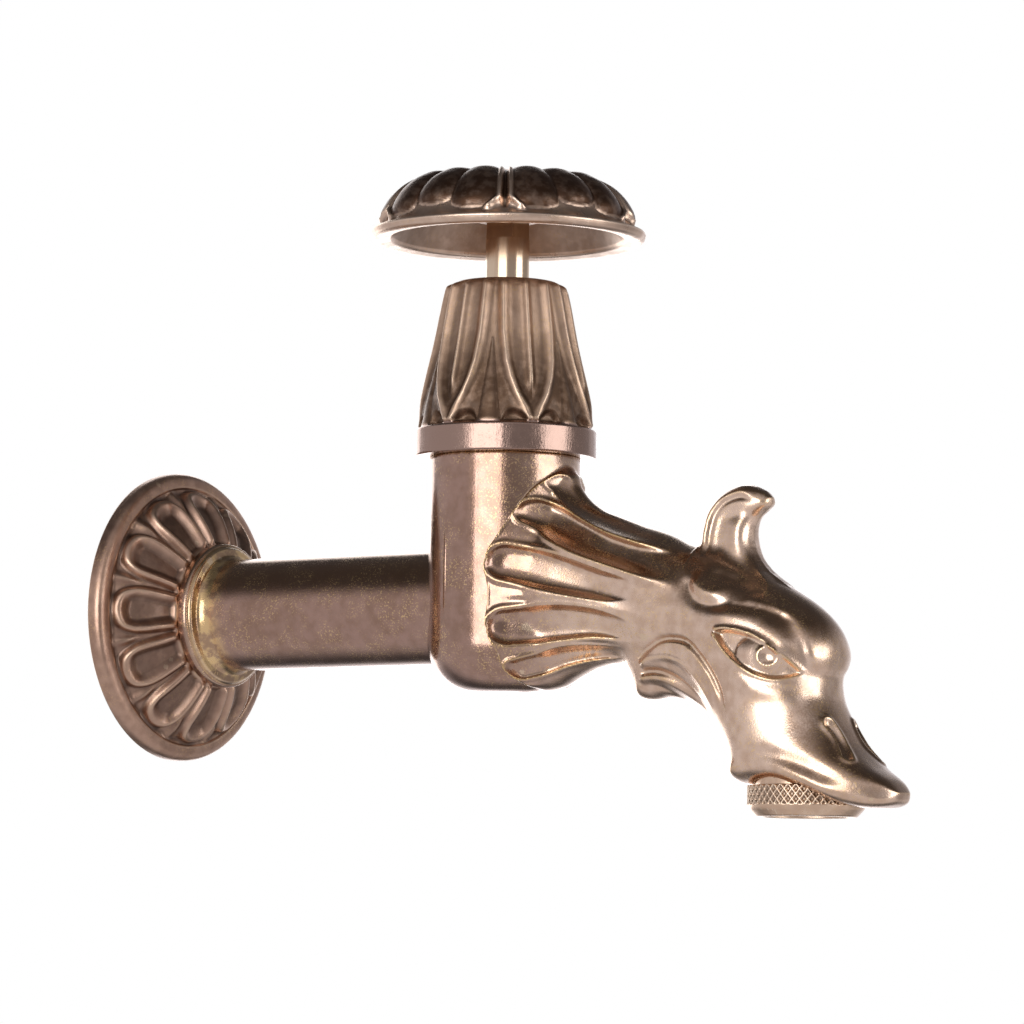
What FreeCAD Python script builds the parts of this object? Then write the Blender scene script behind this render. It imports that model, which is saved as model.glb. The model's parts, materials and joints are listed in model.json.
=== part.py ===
import FreeCAD, Part
import math
import os
import Sketcher

# A wall-mounted garden tap with a beast-head spout, in millimetres.
# +X runs out of the wall, +Z is up, and the tap is the same on both sides of Y = 0.
# The origin is the centre of the rosette's back face, on the axis of the inlet pipe.

document = FreeCAD.newDocument("hose_bib")
Vector = FreeCAD.Vector
Rotation = FreeCAD.Rotation
Placement = FreeCAD.Placement


# ---------------------------------------------------------------- driving sizes
SIZES = {
    # fits
    "thread_play": 0.05,            # between a screwed pair
    "running_play": 0.05,           # radial play of a turning or sliding fit
    "free_gap": 0.4,                # between pieces that pass without touching
    "overcut": 1,                   # how far a cutting shape runs past the face it opens
    # inlet, waterway and wall rosette
    "inlet_thread_radius": 10.48,   # G 1/2 outside radius
    "inlet_thread_length": 15,
    "inlet_shank_radius": 9.9,      # the plain neck that carries the rosette
    "thread_lead_in": 1,
    "waterway_radius": 7,
    "rosette_radius": 32.5,
    "rosette_rim_height": 3.4,
    "rosette_step_radius": 28.6,
    "rosette_neck_radius": 16,
    "rosette_depth": 12.4,
    "rosette_wall": 1.8,
    "rosette_inner_neck_radius": 15,
    "rosette_inner_step_radius": 27.2,
    "rosette_dome_arc": 42,
    "petal_count": 12,
    "petal_middle_x": 9.1,
    "petal_middle_radius": 23.3,
    "petal_half_length": 6.2,
    "petal_half_width": 3.1,
    "petal_depth": 0.9,
    # pipe and valve barrel
    "collar_radius": 16.2,
    "collar_length": 5.1,
    "collar_fillet": 3.4,
    "pipe_radius": 12.5,
    "valve_x": 89,
    "barrel_radius": 16.4,
    "barrel_bottom": -19,
    "barrel_top": 32,
    "barrel_rounding": 9,
    "spigot_radius": 15,
    "spigot_top": 37,
    # seat and chambers
    "chamber_radius": 12.2,
    "lower_chamber_bottom": -13,
    "partition_bottom": 7.8,
    "partition_top": 10.5,
    "seat_top": 12,
    "seat_hole_radius": 6,
    "seat_rim_radius": 8,
    # spout and outlet
    "outlet_x": 165,
    "spout_bore_radius": 5.6,
    "spout_bore_start_x": 96,
    "spout_bore_start_z": 16.5,
    "spout_bore_corner_z": -7,
    "spout_bore_bend": 26,
    "outlet_thread_radius": 12,     # M24 aerator thread
    "outlet_socket_top": -33,
    "outlet_socket_bottom": -39.9,
    "outlet_recess_radius": 12.8,
    "outlet_floor_z": -50,
    # crest, beard and eyes of the beast head
    "crest_x": 150,
    "crest_z": 12,
    "crest_radius": 11.3,
    "crest_half_width": 3.6,
    "crest_notch_x": 160,
    "crest_notch_z": 13.5,
    "crest_notch_radius": 7,
    "beard_x": 130,
    "beard_z": -13,
    "beard_radius": 8.2,
    "beard_half_width": 8,
    "eye_x": 161,
    "eye_y": 11.6,
    "eye_z": -13,
    "eye_half_length": 6,
    "eye_half_height": 3.6,
    "eye_bulge": 3.4,
    "eye_lean": 30,
    # headwork
    "headwork_bottom": 20,
    "jumper_room_top": 26,
    "jumper_room_radius": 9,
    "headwork_gasket_thickness": 1,
    "headwork_hex_top": 44.5,
    "headwork_hex_circumradius": 14.4,
    "headwork_neck_radius": 9.4,
    "headwork_top": 57,
    "spindle_thread_radius": 6.9,
    "spindle_thread_top": 40,
    "spindle_thread_bottom": 22,
    "female_thread_top": 47,
    "packing_floor": 50,
    "packing_radius": 7.3,
    "packing_washer_thickness": 0.8,
    "packing_ring_height": 2.2,
    "gland_bush_top": 58.4,
    "gland_nut_bottom": 52,
    "gland_nut_top": 60.4,
    "gland_nut_circumradius": 11,
    # spindle
    "stem_radius": 4.8,
    "spindle_bottom": 17,
    "spindle_nose_radius": 6,
    "square_bottom": 80,
    "square_half_width": 3.35,
    "spindle_top": 90.4,
    "socket_radius": 3.05,
    "socket_top": 27,
    "clip_z": 23,
    "clip_thickness": 1,
    "clip_inner_radius": 2.5,
    "clip_outer_radius": 3.7,
    "clip_gap": 2.4,
    "clip_room": 0.2,               # of the groove round the clip
    # jumper, washer and nut
    "jumper_plate_radius": 7.2,
    "jumper_plate_bottom": 15,
    "jumper_plate_top": 16.8,
    "jumper_peg_radius": 3,
    "jumper_peg_top": 26.4,
    "washer_radius": 7,
    "washer_lift": 0.1,             # the closed washer's gap over the seat
    "stud_radius": 2,
    "stud_bottom": 8.6,
    "plate_washer_radius": 4.4,
    "plate_washer_thickness": 0.6,
    "washer_nut_circumradius": 4,
    "washer_nut_height": 2.4,
    # bonnet
    "flange_radius": 19.8,
    "flange_top": 38,
    "bonnet_wall": 2,
    "bonnet_thread_end": 37.2,
    "bonnet_foot_radius": 18.9,
    "bonnet_foot_z": 39,
    "bonnet_low_radius": 17.9,
    "bonnet_low_z": 43.5,
    "bonnet_mid_radius": 15.1,
    "bonnet_mid_z": 55.8,
    "bonnet_head_radius": 12.8,
    "bonnet_head_z": 68.1,
    "bonnet_top": 70.4,
    "bonnet_top_arc": 2.4,
    "bonnet_leaf_count": 6,
    "bonnet_leaf_depth": 0.9,
    "bonnet_leaf_half_height": 11,
    "bonnet_leaf_half_width": 4.5,
    "bonnet_leaf_z": 53.8,
    "bonnet_leaf_first_angle": 22,
    # handwheel
    "wheel_radius": 30,
    "wheel_bottom": 79.4,
    "wheel_rim_height": 3,
    "wheel_rim_width": 4.6,
    "wheel_rim_bead": 2,
    "wheel_shoulder_arc": 8,
    "wheel_crown_arc": 90,
    "wheel_shoulder_radius": 24.7,
    "wheel_shoulder_z": 89.3,
    "wheel_crown_radius": 19,
    "wheel_crown_z": 92.8,
    "wheel_top": 94.5,
    "wheel_wall": 2.4,
    "hub_radius": 8,
    "hub_bottom": 81,
    "groove_count": 5,
    "groove_first_angle": 14,
    "groove_radius": 1.6,
    "groove_half_length": 8,
    "groove_middle_radius": 25.8,
    "groove_z": 88.3,
    "groove_lean": 35,
    "screw_radius": 2.5,
    "screw_length": 14,
    "screw_tip_gap": 1,
    "screw_head_radius": 5,
    "screw_head_bottom": 91.6,
    "screw_head_play": 0.2,
    "screw_crown": 0.6,             # the head's edge below, and its middle above, the wheel's top
    "screw_crown_arc": 11,
    "screw_slot_width": 1.2,
    "screw_slot_depth": 1.2,
    "lock_washer_thickness": 0.8,
    "lock_washer_radius": 4.4,
    # aerator
    "knurl_radius": 12.3,
    "knurl_count": 54,
    "knurl_depth": 0.35,
    "knurl_bottom": -44,
    "ring_bottom": -46.4,
    "ring_bottom_radius": 10.4,
    "ring_thread_top": -34.4,
    "ring_bore_radius": 10.2,
    "ring_lip_radius": 9,
    "ring_lip_height": 1.2,
    "insert_top": -34.8,
    "insert_wall": 1.2,
    "screen_thickness": 0.4,
    "screen_hole_radius": 0.8,
    "screen_hole_count": 8,
    "outer_hole_ring": 7.5,
    "inner_hole_ring": 3.9,
    "inner_hole_count": 5,
    "grid_thickness": 1,
    "grid_hole_radius": 1.1,
    "grid_hole_count": 10,
}
# Each row of the head's skeleton: centre x, centre z, lean of the section in degrees,
# half height and half width. The spout leaves the barrel level and turns down to the outlet.
HEAD_SECTIONS = [
    ("root", 92, 4.5, 0, 23, 13.5),
    ("neck", 106, 3.8, 8, 20, 12.5),
    ("throat", 120, 1.7, 14, 15, 11),
    ("nape", 134.5, -4.5, 18, 16.5, 11.5),
    ("cheek", 148, -9.5, 28, 19, 13.5),
    ("brow", 159.5, -19.5, 47, 18.4, 14.2),
    ("muzzle", 162.5, -28.5, 66, 14.8, 13.4),
    ("upper_lip", 166, -37.2, 82, 18, 14),
    ("lower_lip", 169.4, -42, 97, 20.6, 14.8),
]
SECTION_SIZES = ("x", "z", "lean", "half_height", "half_width")
for section_name, *section_row in HEAD_SECTIONS:
    for size_name, number in zip(SECTION_SIZES, section_row):
        SIZES[f"{section_name}_{size_name}"] = number


class Size:
    """A length, count or angle: its number, and the sheet expression that it comes from."""

    def __init__(self, text, value):
        self.text = text
        self.value = value

    def __add__(self, other):
        other = as_size(other)
        return Size(f"({self.text} + {other.text})", self.value + other.value)

    def __sub__(self, other):
        other = as_size(other)
        return Size(f"({self.text} - {other.text})", self.value - other.value)

    def __mul__(self, other):
        other = as_size(other)
        return Size(f"{self.text} * {other.text}", self.value * other.value)

    def __neg__(self):
        return Size(f"(0 - {self.text})", -self.value)


def as_size(number):
    if isinstance(number, Size):
        return number
    return Size(f"({number})" if number < 0 else f"{number}", number)


class Dimensions:
    """The spreadsheet, with each alias readable as an attribute."""

    def __init__(self, sizes):
        sheet = document.addObject("Spreadsheet::Sheet", "dims")
        for row, (name, number) in enumerate(sizes.items(), start=1):
            sheet.set(f"A{row}", name)
            sheet.set(f"B{row}", str(number))
            sheet.setAlias(f"B{row}", name)
            setattr(self, name, Size(f"dims.{name}", number))


dim = Dimensions(SIZES)
document.recompute()


# ---------------------------------------------------------------- modelling helpers
def bind(thing, **properties):
    """Bind properties to sizes; a double underscore in a keyword stands for a dot."""
    for path, size in properties.items():
        thing.setExpression(path.replace("__", "."), as_size(size).text)


def origin_feature(body, role):
    return next(part for part in body.Origin.OriginFeatures if part.Role == role)


def add_sketch(body, name, plane):
    sketch = body.newObject("Sketcher::SketchObject", name)
    sketch.AttachmentSupport = [(origin_feature(body, plane), "")]
    sketch.MapMode = "FlatFace"
    return sketch


def pin_point(sketch, edge, end, x, y):
    """Dimension one end of an edge from the sketch's origin."""
    for kind, size in (("DistanceX", as_size(x)), ("DistanceY", as_size(y))):
        number = sketch.addConstraint(Sketcher.Constraint(kind, -1, 1, edge, end, size.value))
        if "dims." in size.text:
            sketch.setExpression(f"Constraints[{number}]", size.text)


def add_arc(sketch, start, finish, radius):
    """An arc from start to finish. A positive radius bulges to the left of the way from start."""
    chord = finish - start
    middle = (start + finish) * 0.5
    left = Vector(-chord.y, chord.x, 0).normalize()
    reach = abs(radius.value)
    height = math.sqrt(reach ** 2 - (chord.Length / 2) ** 2)
    bulge = math.copysign(reach - height, radius.value)
    edge = sketch.addGeometry(Part.Arc(start, middle + left * bulge, finish))
    start_end = 1 if (sketch.getPoint(edge, 1) - start).Length < 1e-6 else 2
    number = sketch.addConstraint(Sketcher.Constraint("Radius", edge, reach))
    if "dims." in radius.text:
        text = radius.text if radius.value > 0 else (-radius).text
        sketch.setExpression(f"Constraints[{number}]", text)
    return edge, start_end


def add_outline(sketch, outline):
    """A closed outline of (x, y) points; a third entry makes the edge that ends there an arc."""
    corners = [Vector(as_size(p[0]).value, as_size(p[1]).value, 0) for p in outline]
    edges = []
    for index, point in enumerate(outline):
        before = corners[index - 1]
        if len(point) == 3:
            edges.append(add_arc(sketch, before, corners[index], as_size(point[2])))
        else:
            edges.append((sketch.addGeometry(Part.LineSegment(before, corners[index])), 1))
    for index, point in enumerate(outline):
        edge, start_end = edges[index]
        following, following_start = edges[(index + 1) % len(edges)]
        finish_end = 3 - start_end
        sketch.addConstraint(
            Sketcher.Constraint("Coincident", edge, finish_end, following, following_start)
        )
        pin_point(sketch, edge, finish_end, point[0], point[1])


def turned(name, profile, x=None, along="z"):
    """A body turned about its own axis, from a profile of (radius, height) points."""
    body = document.addObject("PartDesign::Body", name)
    body.Label = name
    sketch = add_sketch(body, name + "_profile", "XZ_Plane")
    if along == "x":
        # swapping the axes mirrors the outline, so each arc bulges the other way
        profile = [(p[1], p[0]) + tuple(-as_size(r) for r in p[2:]) for p in profile]
    add_outline(sketch, profile)
    document.recompute()
    turn = body.newObject("PartDesign::Revolution", name + "_turn")
    turn.Profile = sketch
    turn.ReferenceAxis = (sketch, ["V_Axis" if along == "z" else "H_Axis"])
    turn.Angle = 360
    if x is not None:
        bind(body, Placement__Base__x=x)
    document.recompute()
    return body


def ring_profile(inner, outer, low, high):
    return [(inner, low), (outer, low), (outer, high), (inner, high)]


def cylinder(name, radius, low, high, x=None):
    piece = document.addObject("Part::Cylinder", name)
    bind(piece, Radius=radius, Height=as_size(high) - low, Placement__Base__z=low)
    if x is not None:
        bind(piece, Placement__Base__x=x)
    return piece


def cross_cylinder(name, radius, half_width, x, z):
    """A cylinder that lies across the tap, along Y."""
    piece = document.addObject("Part::Cylinder", name)
    piece.Placement = Placement(Vector(), Rotation(Vector(1, 0, 0), 90))
    bind(piece, Radius=radius, Height=as_size(half_width) * 2)
    bind(piece, Placement__Base__x=x, Placement__Base__y=half_width, Placement__Base__z=z)
    return piece


def hexagon(name, circumradius, low, high, x):
    piece = document.addObject("Part::Prism", name)
    piece.Polygon = 6
    bind(piece, Circumradius=circumradius, Height=as_size(high) - low)
    bind(piece, Placement__Base__x=x, Placement__Base__z=low)
    return piece


def fused(name, pieces):
    whole = document.addObject("Part::MultiFuse", name)
    whole.Shapes = pieces
    whole.Refine = True
    document.recompute()
    return whole


def cut(name, base, tool):
    result = document.addObject("Part::Cut", name)
    result.Base = base
    result.Tool = tool
    document.recompute()
    return result


def polar_copies(body, feature, count, axis):
    pattern = body.newObject("PartDesign::PolarPattern", feature.Name + "_pattern")
    pattern.Originals = [feature]
    pattern.Axis = (origin_feature(body, axis), [""])
    pattern.Angle = 360
    pattern.Occurrences = int(count.value)
    bind(pattern, Occurrences=count)
    body.Tip = pattern
    document.recompute()


def carve_ellipsoid(body, name, centre, half_sizes, turn):
    """Cut an ellipsoid out of a body; half_sizes run along its own X, Y and Z before the turn."""
    before = body.Shape.Volume
    bowl = body.newObject("PartDesign::SubtractiveEllipsoid", name)
    bowl.AttachmentSupport = [(origin_feature(body, "XY_Plane"), "")]
    bowl.MapMode = "FlatFace"
    bowl.AttachmentOffset = Placement(Vector(), turn)
    bind(bowl, Radius2=half_sizes[0], Radius3=half_sizes[1], Radius1=half_sizes[2])
    bind(bowl, AttachmentOffset__Base__x=centre[0], AttachmentOffset__Base__y=centre[1])
    bind(bowl, AttachmentOffset__Base__z=centre[2])
    document.recompute()
    if body.Shape.Volume >= before:
        raise RuntimeError(f"{name} cuts nothing")
    return bowl


def carve_holes(body, name, radius, ring_radius, count):
    """A ring of through holes, or of grooves in the rim, round the body's own Z axis."""
    before = body.Shape.Volume
    sketch = add_sketch(body, name + "_sketch", "XY_Plane")
    hole = sketch.addGeometry(Part.Circle(Vector(ring_radius.value, 0, 0), Vector(0, 0, 1), radius.value))
    number = sketch.addConstraint(Sketcher.Constraint("Radius", hole, radius.value))
    sketch.setExpression(f"Constraints[{number}]", radius.text)
    pin_point(sketch, hole, 3, ring_radius, 0)
    pocket = body.newObject("PartDesign::Pocket", name)
    pocket.Profile = sketch
    pocket.Type = 1
    pocket.Midplane = True
    document.recompute()
    if body.Shape.Volume >= before:
        raise RuntimeError(f"{name} cuts nothing")
    polar_copies(body, pocket, count, "Z_Axis")


# ---------------------------------------------------------------- cast body
def head_section(name):
    """One elliptical section of the spout, in a plane that leans forward about Y."""
    x, z, lean, half_height, half_width = (getattr(dim, f"{name}_{size}") for size in SECTION_SIZES)
    section = document.addObject("Part::Ellipse", name + "_section")
    section.Placement = Placement(Vector(), Rotation(Vector(0, 1, 0), 90 + lean.value))
    bind(section, MajorRadius=half_height, MinorRadius=half_width)
    bind(section, Placement__Base__x=x, Placement__Base__z=z, Placement__Rotation__Angle=lean + 90)
    return section


def make_spout():
    spout = document.addObject("Part::Loft", "spout_loft")
    spout.Sections = [head_section(row[0]) for row in HEAD_SECTIONS]
    spout.Solid = True
    document.recompute()
    crest_disc = cross_cylinder(
        "crest_disc", dim.crest_radius, dim.crest_half_width, dim.crest_x, dim.crest_z
    )
    crest_notch = cross_cylinder(
        "crest_notch", dim.crest_notch_radius, dim.crest_half_width * 2,
        dim.crest_notch_x, dim.crest_notch_z
    )
    crest = cut("crest", crest_disc, crest_notch)
    beard = cross_cylinder("beard", dim.beard_radius, dim.beard_half_width, dim.beard_x, dim.beard_z)
    pieces = [spout, crest, beard]
    for side, sign in (("left", 1), ("right", -1)):
        eye = document.addObject("Part::Ellipsoid", side + "_eye")
        eye.Placement = Placement(Vector(), Rotation(Vector(0, 1, 0), SIZES["eye_lean"]))
        bind(eye, Radius2=dim.eye_half_length, Radius3=dim.eye_bulge, Radius1=dim.eye_half_height)
        bind(eye, Placement__Base__x=dim.eye_x, Placement__Base__y=dim.eye_y * sign)
        bind(eye, Placement__Base__z=dim.eye_z)
        pieces.append(eye)
    return pieces


def make_spout_bore():
    """A round bore that slopes down from the upper chamber and bends down to the outlet."""
    start = Vector(SIZES["spout_bore_start_x"], 0, SIZES["spout_bore_start_z"])
    corner = Vector(SIZES["outlet_x"], 0, SIZES["spout_bore_corner_z"])
    finish = Vector(SIZES["outlet_x"], 0, SIZES["outlet_socket_top"] - SIZES["overcut"])
    slope = (corner - start).normalize()
    fall = Vector(0, 0, -1)
    turn = slope.getAngle(fall)
    bend = SIZES["spout_bore_bend"]
    run_in = bend * math.tan(turn / 2)
    bend_start = corner - slope * run_in
    bend_finish = corner + fall * run_in
    centre = bend_finish - Vector(bend, 0, 0)
    middle_way = (corner - centre).normalize()
    path = Part.Wire([
        Part.LineSegment(start, bend_start).toShape(),
        Part.Arc(bend_start, centre + middle_way * bend, bend_finish).toShape(),
        Part.LineSegment(bend_finish, finish).toShape(),
    ])
    circle = Part.Wire(Part.Circle(start, slope, SIZES["spout_bore_radius"]).toShape())
    bore = document.addObject("Part::Feature", "spout_bore")
    bore.Shape = path.makePipeShell([circle], True, True)
    return bore


def make_inlet_and_cast_body():
    """The inlet pipe, brazed to the back of the barrel, and the casting of barrel and spout."""
    collar_end = dim.rosette_depth + dim.collar_length
    inlet = turned("inlet_solid", [
        (0, -dim.inlet_thread_length),
        (dim.inlet_thread_radius - dim.thread_lead_in, -dim.inlet_thread_length),
        (dim.inlet_thread_radius, dim.thread_lead_in - dim.inlet_thread_length),
        (dim.inlet_thread_radius, -dim.thread_lead_in),
        (dim.inlet_shank_radius, 0),
        (dim.inlet_shank_radius, dim.rosette_depth),
        (dim.collar_radius, dim.rosette_depth),
        (dim.collar_radius, collar_end),
        (dim.pipe_radius + dim.collar_fillet, collar_end),
        (dim.pipe_radius, collar_end + dim.collar_fillet, dim.collar_fillet),
        (dim.pipe_radius, dim.valve_x),
        (0, dim.valve_x),
    ], along="x")
    barrel = turned("barrel", [
        (0, dim.barrel_bottom),
        (dim.barrel_radius - dim.barrel_rounding, dim.barrel_bottom),
        (dim.barrel_radius, dim.barrel_bottom + dim.barrel_rounding, -dim.barrel_rounding),
        (dim.barrel_radius, dim.barrel_top),
        (dim.spigot_radius, dim.barrel_top),
        (dim.spigot_radius, dim.spigot_top),
        (0, dim.spigot_top),
    ], x=dim.valve_x)
    solid = fused("cast_body_solid", [barrel] + make_spout())

    inlet_bore = cylinder("inlet_bore", dim.waterway_radius, 0, dim.valve_x + dim.inlet_thread_length)
    inlet_bore.Placement = Placement(Vector(), Rotation(Vector(0, 1, 0), 90))
    bind(inlet_bore, Placement__Base__x=-dim.inlet_thread_length)
    lower_chamber = cylinder(
        "lower_chamber", dim.chamber_radius, dim.lower_chamber_bottom, dim.partition_bottom, dim.valve_x
    )
    seat_hole = cylinder("seat_hole", dim.seat_hole_radius, 0, dim.seat_top, dim.valve_x)
    upper_chamber = turned("upper_chamber", [
        (0, dim.seat_top),
        (dim.seat_rim_radius, dim.seat_top),
        (dim.seat_rim_radius, dim.partition_top),
        (dim.chamber_radius + dim.thread_play, dim.partition_top),
        (dim.chamber_radius + dim.thread_play, dim.spigot_top + dim.overcut),
        (0, dim.spigot_top + dim.overcut),
    ], x=dim.valve_x)
    outlet = turned("outlet_socket", [
        (0, dim.outlet_socket_top),
        (dim.outlet_thread_radius, dim.outlet_socket_top),
        (dim.outlet_thread_radius, dim.outlet_socket_bottom),
        (dim.outlet_recess_radius, dim.outlet_socket_bottom),
        (dim.outlet_recess_radius, dim.outlet_floor_z),
        (0, dim.outlet_floor_z),
    ], x=dim.outlet_x)
    hollows = [inlet_bore, lower_chamber, seat_hole, upper_chamber, make_spout_bore(), outlet]
    body = solid
    for hollow in hollows:
        before = body.Shape.Volume
        body = cut("cast_body_less_" + hollow.Name, body, hollow)
        if body.Shape.Volume >= before:
            raise RuntimeError(f"{hollow.Name} cuts nothing")
    # the pipe's front end is saddle-shaped, to fit round the barrel
    pipe = cut("inlet_saddled", inlet, barrel)
    pipe = cut("inlet_bored", pipe, inlet_bore)
    return pipe, body


# ---------------------------------------------------------------- wall rosette
def make_wall_rosette():
    inner_rim = dim.rosette_radius - dim.rosette_wall
    rosette = turned("wall_rosette", [
        (inner_rim, 0),
        (dim.rosette_radius, 0),
        (dim.rosette_radius, dim.rosette_rim_height),
        (dim.rosette_step_radius, dim.rosette_rim_height),
        (dim.rosette_neck_radius, dim.rosette_depth, -dim.rosette_dome_arc),
        (dim.inlet_thread_radius + dim.free_gap, dim.rosette_depth),
        (dim.inlet_thread_radius + dim.free_gap, dim.rosette_depth - dim.rosette_wall),
        (dim.rosette_inner_neck_radius, dim.rosette_depth - dim.rosette_wall),
        (dim.rosette_inner_step_radius, dim.rosette_rim_height - dim.rosette_wall,
         dim.rosette_dome_arc),
        (inner_rim, dim.rosette_rim_height - dim.rosette_wall),
    ], along="x")
    run = SIZES["rosette_step_radius"] - SIZES["rosette_neck_radius"]
    rise = SIZES["rosette_depth"] - SIZES["rosette_rim_height"]
    slope = math.degrees(math.atan2(rise, run))
    petal = carve_ellipsoid(
        rosette, "petal",
        (dim.petal_middle_x, 0, dim.petal_middle_radius),
        (dim.petal_depth * 2, dim.petal_half_width, dim.petal_half_length),
        Rotation(Vector(0, 1, 0), -slope),
    )
    polar_copies(rosette, petal, dim.petal_count, "X_Axis")
    return rosette


# ---------------------------------------------------------------- headwork
def make_headwork():
    hex_bottom = dim.spigot_top + dim.headwork_gasket_thickness
    lower = cylinder(
        "headwork_thread", dim.chamber_radius, dim.headwork_bottom, hex_bottom, dim.valve_x
    )
    hex_part = hexagon(
        "headwork_hexagon", dim.headwork_hex_circumradius, hex_bottom, dim.headwork_hex_top, dim.valve_x
    )
    neck = cylinder(
        "headwork_neck", dim.headwork_neck_radius, dim.headwork_hex_top, dim.headwork_top, dim.valve_x
    )
    bore = turned("headwork_bore", [
        (0, dim.headwork_bottom - dim.overcut),
        (dim.jumper_room_radius, dim.headwork_bottom - dim.overcut),
        (dim.jumper_room_radius, dim.jumper_room_top),
        (dim.spindle_thread_radius + dim.running_play, dim.jumper_room_top),
        (dim.spindle_thread_radius + dim.running_play, dim.female_thread_top),
        (dim.stem_radius + dim.running_play, dim.female_thread_top),
        (dim.stem_radius + dim.running_play, dim.packing_floor),
        (dim.packing_radius, dim.packing_floor),
        (dim.packing_radius, dim.headwork_top + dim.overcut),
        (0, dim.headwork_top + dim.overcut),
    ], x=dim.valve_x)
    return cut("headwork_body", fused("headwork_solid", [lower, hex_part, neck]), bore)


def make_headwork_gasket():
    return turned("headwork_gasket", ring_profile(
        dim.chamber_radius + dim.thread_play, dim.spigot_radius,
        dim.spigot_top, dim.spigot_top + dim.headwork_gasket_thickness,
    ), x=dim.valve_x)


def make_gland():
    """The packing washer, two packing rings, the gland bush and the gland nut over them."""
    inner = dim.stem_radius + dim.running_play
    outer = dim.packing_radius
    washer_top = dim.packing_floor + dim.packing_washer_thickness
    washer = turned("packing_washer", ring_profile(inner, outer, dim.packing_floor, washer_top),
                    x=dim.valve_x)
    lower_top = washer_top + dim.packing_ring_height
    upper_bottom = lower_top + dim.thread_play
    upper_top = upper_bottom + dim.packing_ring_height
    lower_ring = turned("lower_packing_ring", ring_profile(inner, outer, washer_top, lower_top),
                        x=dim.valve_x)
    upper_ring = turned("upper_packing_ring", ring_profile(inner, outer, upper_bottom, upper_top),
                        x=dim.valve_x)
    bush = turned("gland_bush", ring_profile(inner, outer - dim.thread_play, upper_top,
                                             dim.gland_bush_top), x=dim.valve_x)
    nut_outer = hexagon("gland_nut_hexagon", dim.gland_nut_circumradius, dim.gland_nut_bottom,
                        dim.gland_nut_top, dim.valve_x)
    nut_bore = turned("gland_nut_bore", [
        (0, dim.gland_nut_bottom - dim.overcut),
        (dim.headwork_neck_radius + dim.thread_play, dim.gland_nut_bottom - dim.overcut),
        (dim.headwork_neck_radius + dim.thread_play, dim.gland_bush_top),
        (dim.stem_radius + dim.free_gap, dim.gland_bush_top),
        (dim.stem_radius + dim.free_gap, dim.gland_nut_top + dim.overcut),
        (0, dim.gland_nut_top + dim.overcut),
    ], x=dim.valve_x)
    nut = cut("gland_nut", nut_outer, nut_bore)
    return [washer, lower_ring, upper_ring, bush, nut]


# ---------------------------------------------------------------- bonnet
def make_bonnet():
    wall = dim.bonnet_wall
    thread = dim.spigot_radius + dim.thread_play
    bonnet = turned("bonnet", [
        (thread, dim.barrel_top),
        (dim.flange_radius, dim.barrel_top),
        (dim.flange_radius, dim.flange_top),
        (dim.bonnet_foot_radius, dim.flange_top),
        (dim.bonnet_foot_radius, dim.bonnet_foot_z),
        (dim.bonnet_low_radius, dim.bonnet_low_z),
        (dim.bonnet_mid_radius, dim.bonnet_mid_z),
        (dim.bonnet_head_radius, dim.bonnet_head_z),
        (dim.bonnet_head_radius - wall, dim.bonnet_top, -dim.bonnet_top_arc),
        (dim.stem_radius + dim.free_gap, dim.bonnet_top),
        (dim.stem_radius + dim.free_gap, dim.bonnet_top - wall),
        (dim.bonnet_head_radius - wall, dim.bonnet_top - wall),
        (dim.bonnet_mid_radius - wall, dim.bonnet_mid_z),
        (dim.bonnet_low_radius - wall, dim.bonnet_low_z),
        (dim.bonnet_low_radius - wall, dim.bonnet_thread_end),
        (thread, dim.bonnet_thread_end),
    ], x=dim.valve_x)
    first = math.radians(SIZES["bonnet_leaf_first_angle"])
    lean = math.degrees(math.atan2(
        SIZES["bonnet_low_radius"] - SIZES["bonnet_mid_radius"],
        SIZES["bonnet_mid_z"] - SIZES["bonnet_low_z"],
    ))
    around = Rotation(Vector(0, 0, 1), SIZES["bonnet_leaf_first_angle"])
    turn = around.multiply(Rotation(Vector(0, 1, 0), -lean))
    out = dim.bonnet_mid_radius + dim.bonnet_leaf_depth
    leaf = carve_ellipsoid(
        bonnet, "leaf",
        (out * math.cos(first), out * math.sin(first), dim.bonnet_leaf_z),
        (dim.bonnet_leaf_depth * 2, dim.bonnet_leaf_half_width, dim.bonnet_leaf_half_height),
        turn,
    )
    polar_copies(bonnet, leaf, dim.bonnet_leaf_count, "Z_Axis")
    return bonnet


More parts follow.
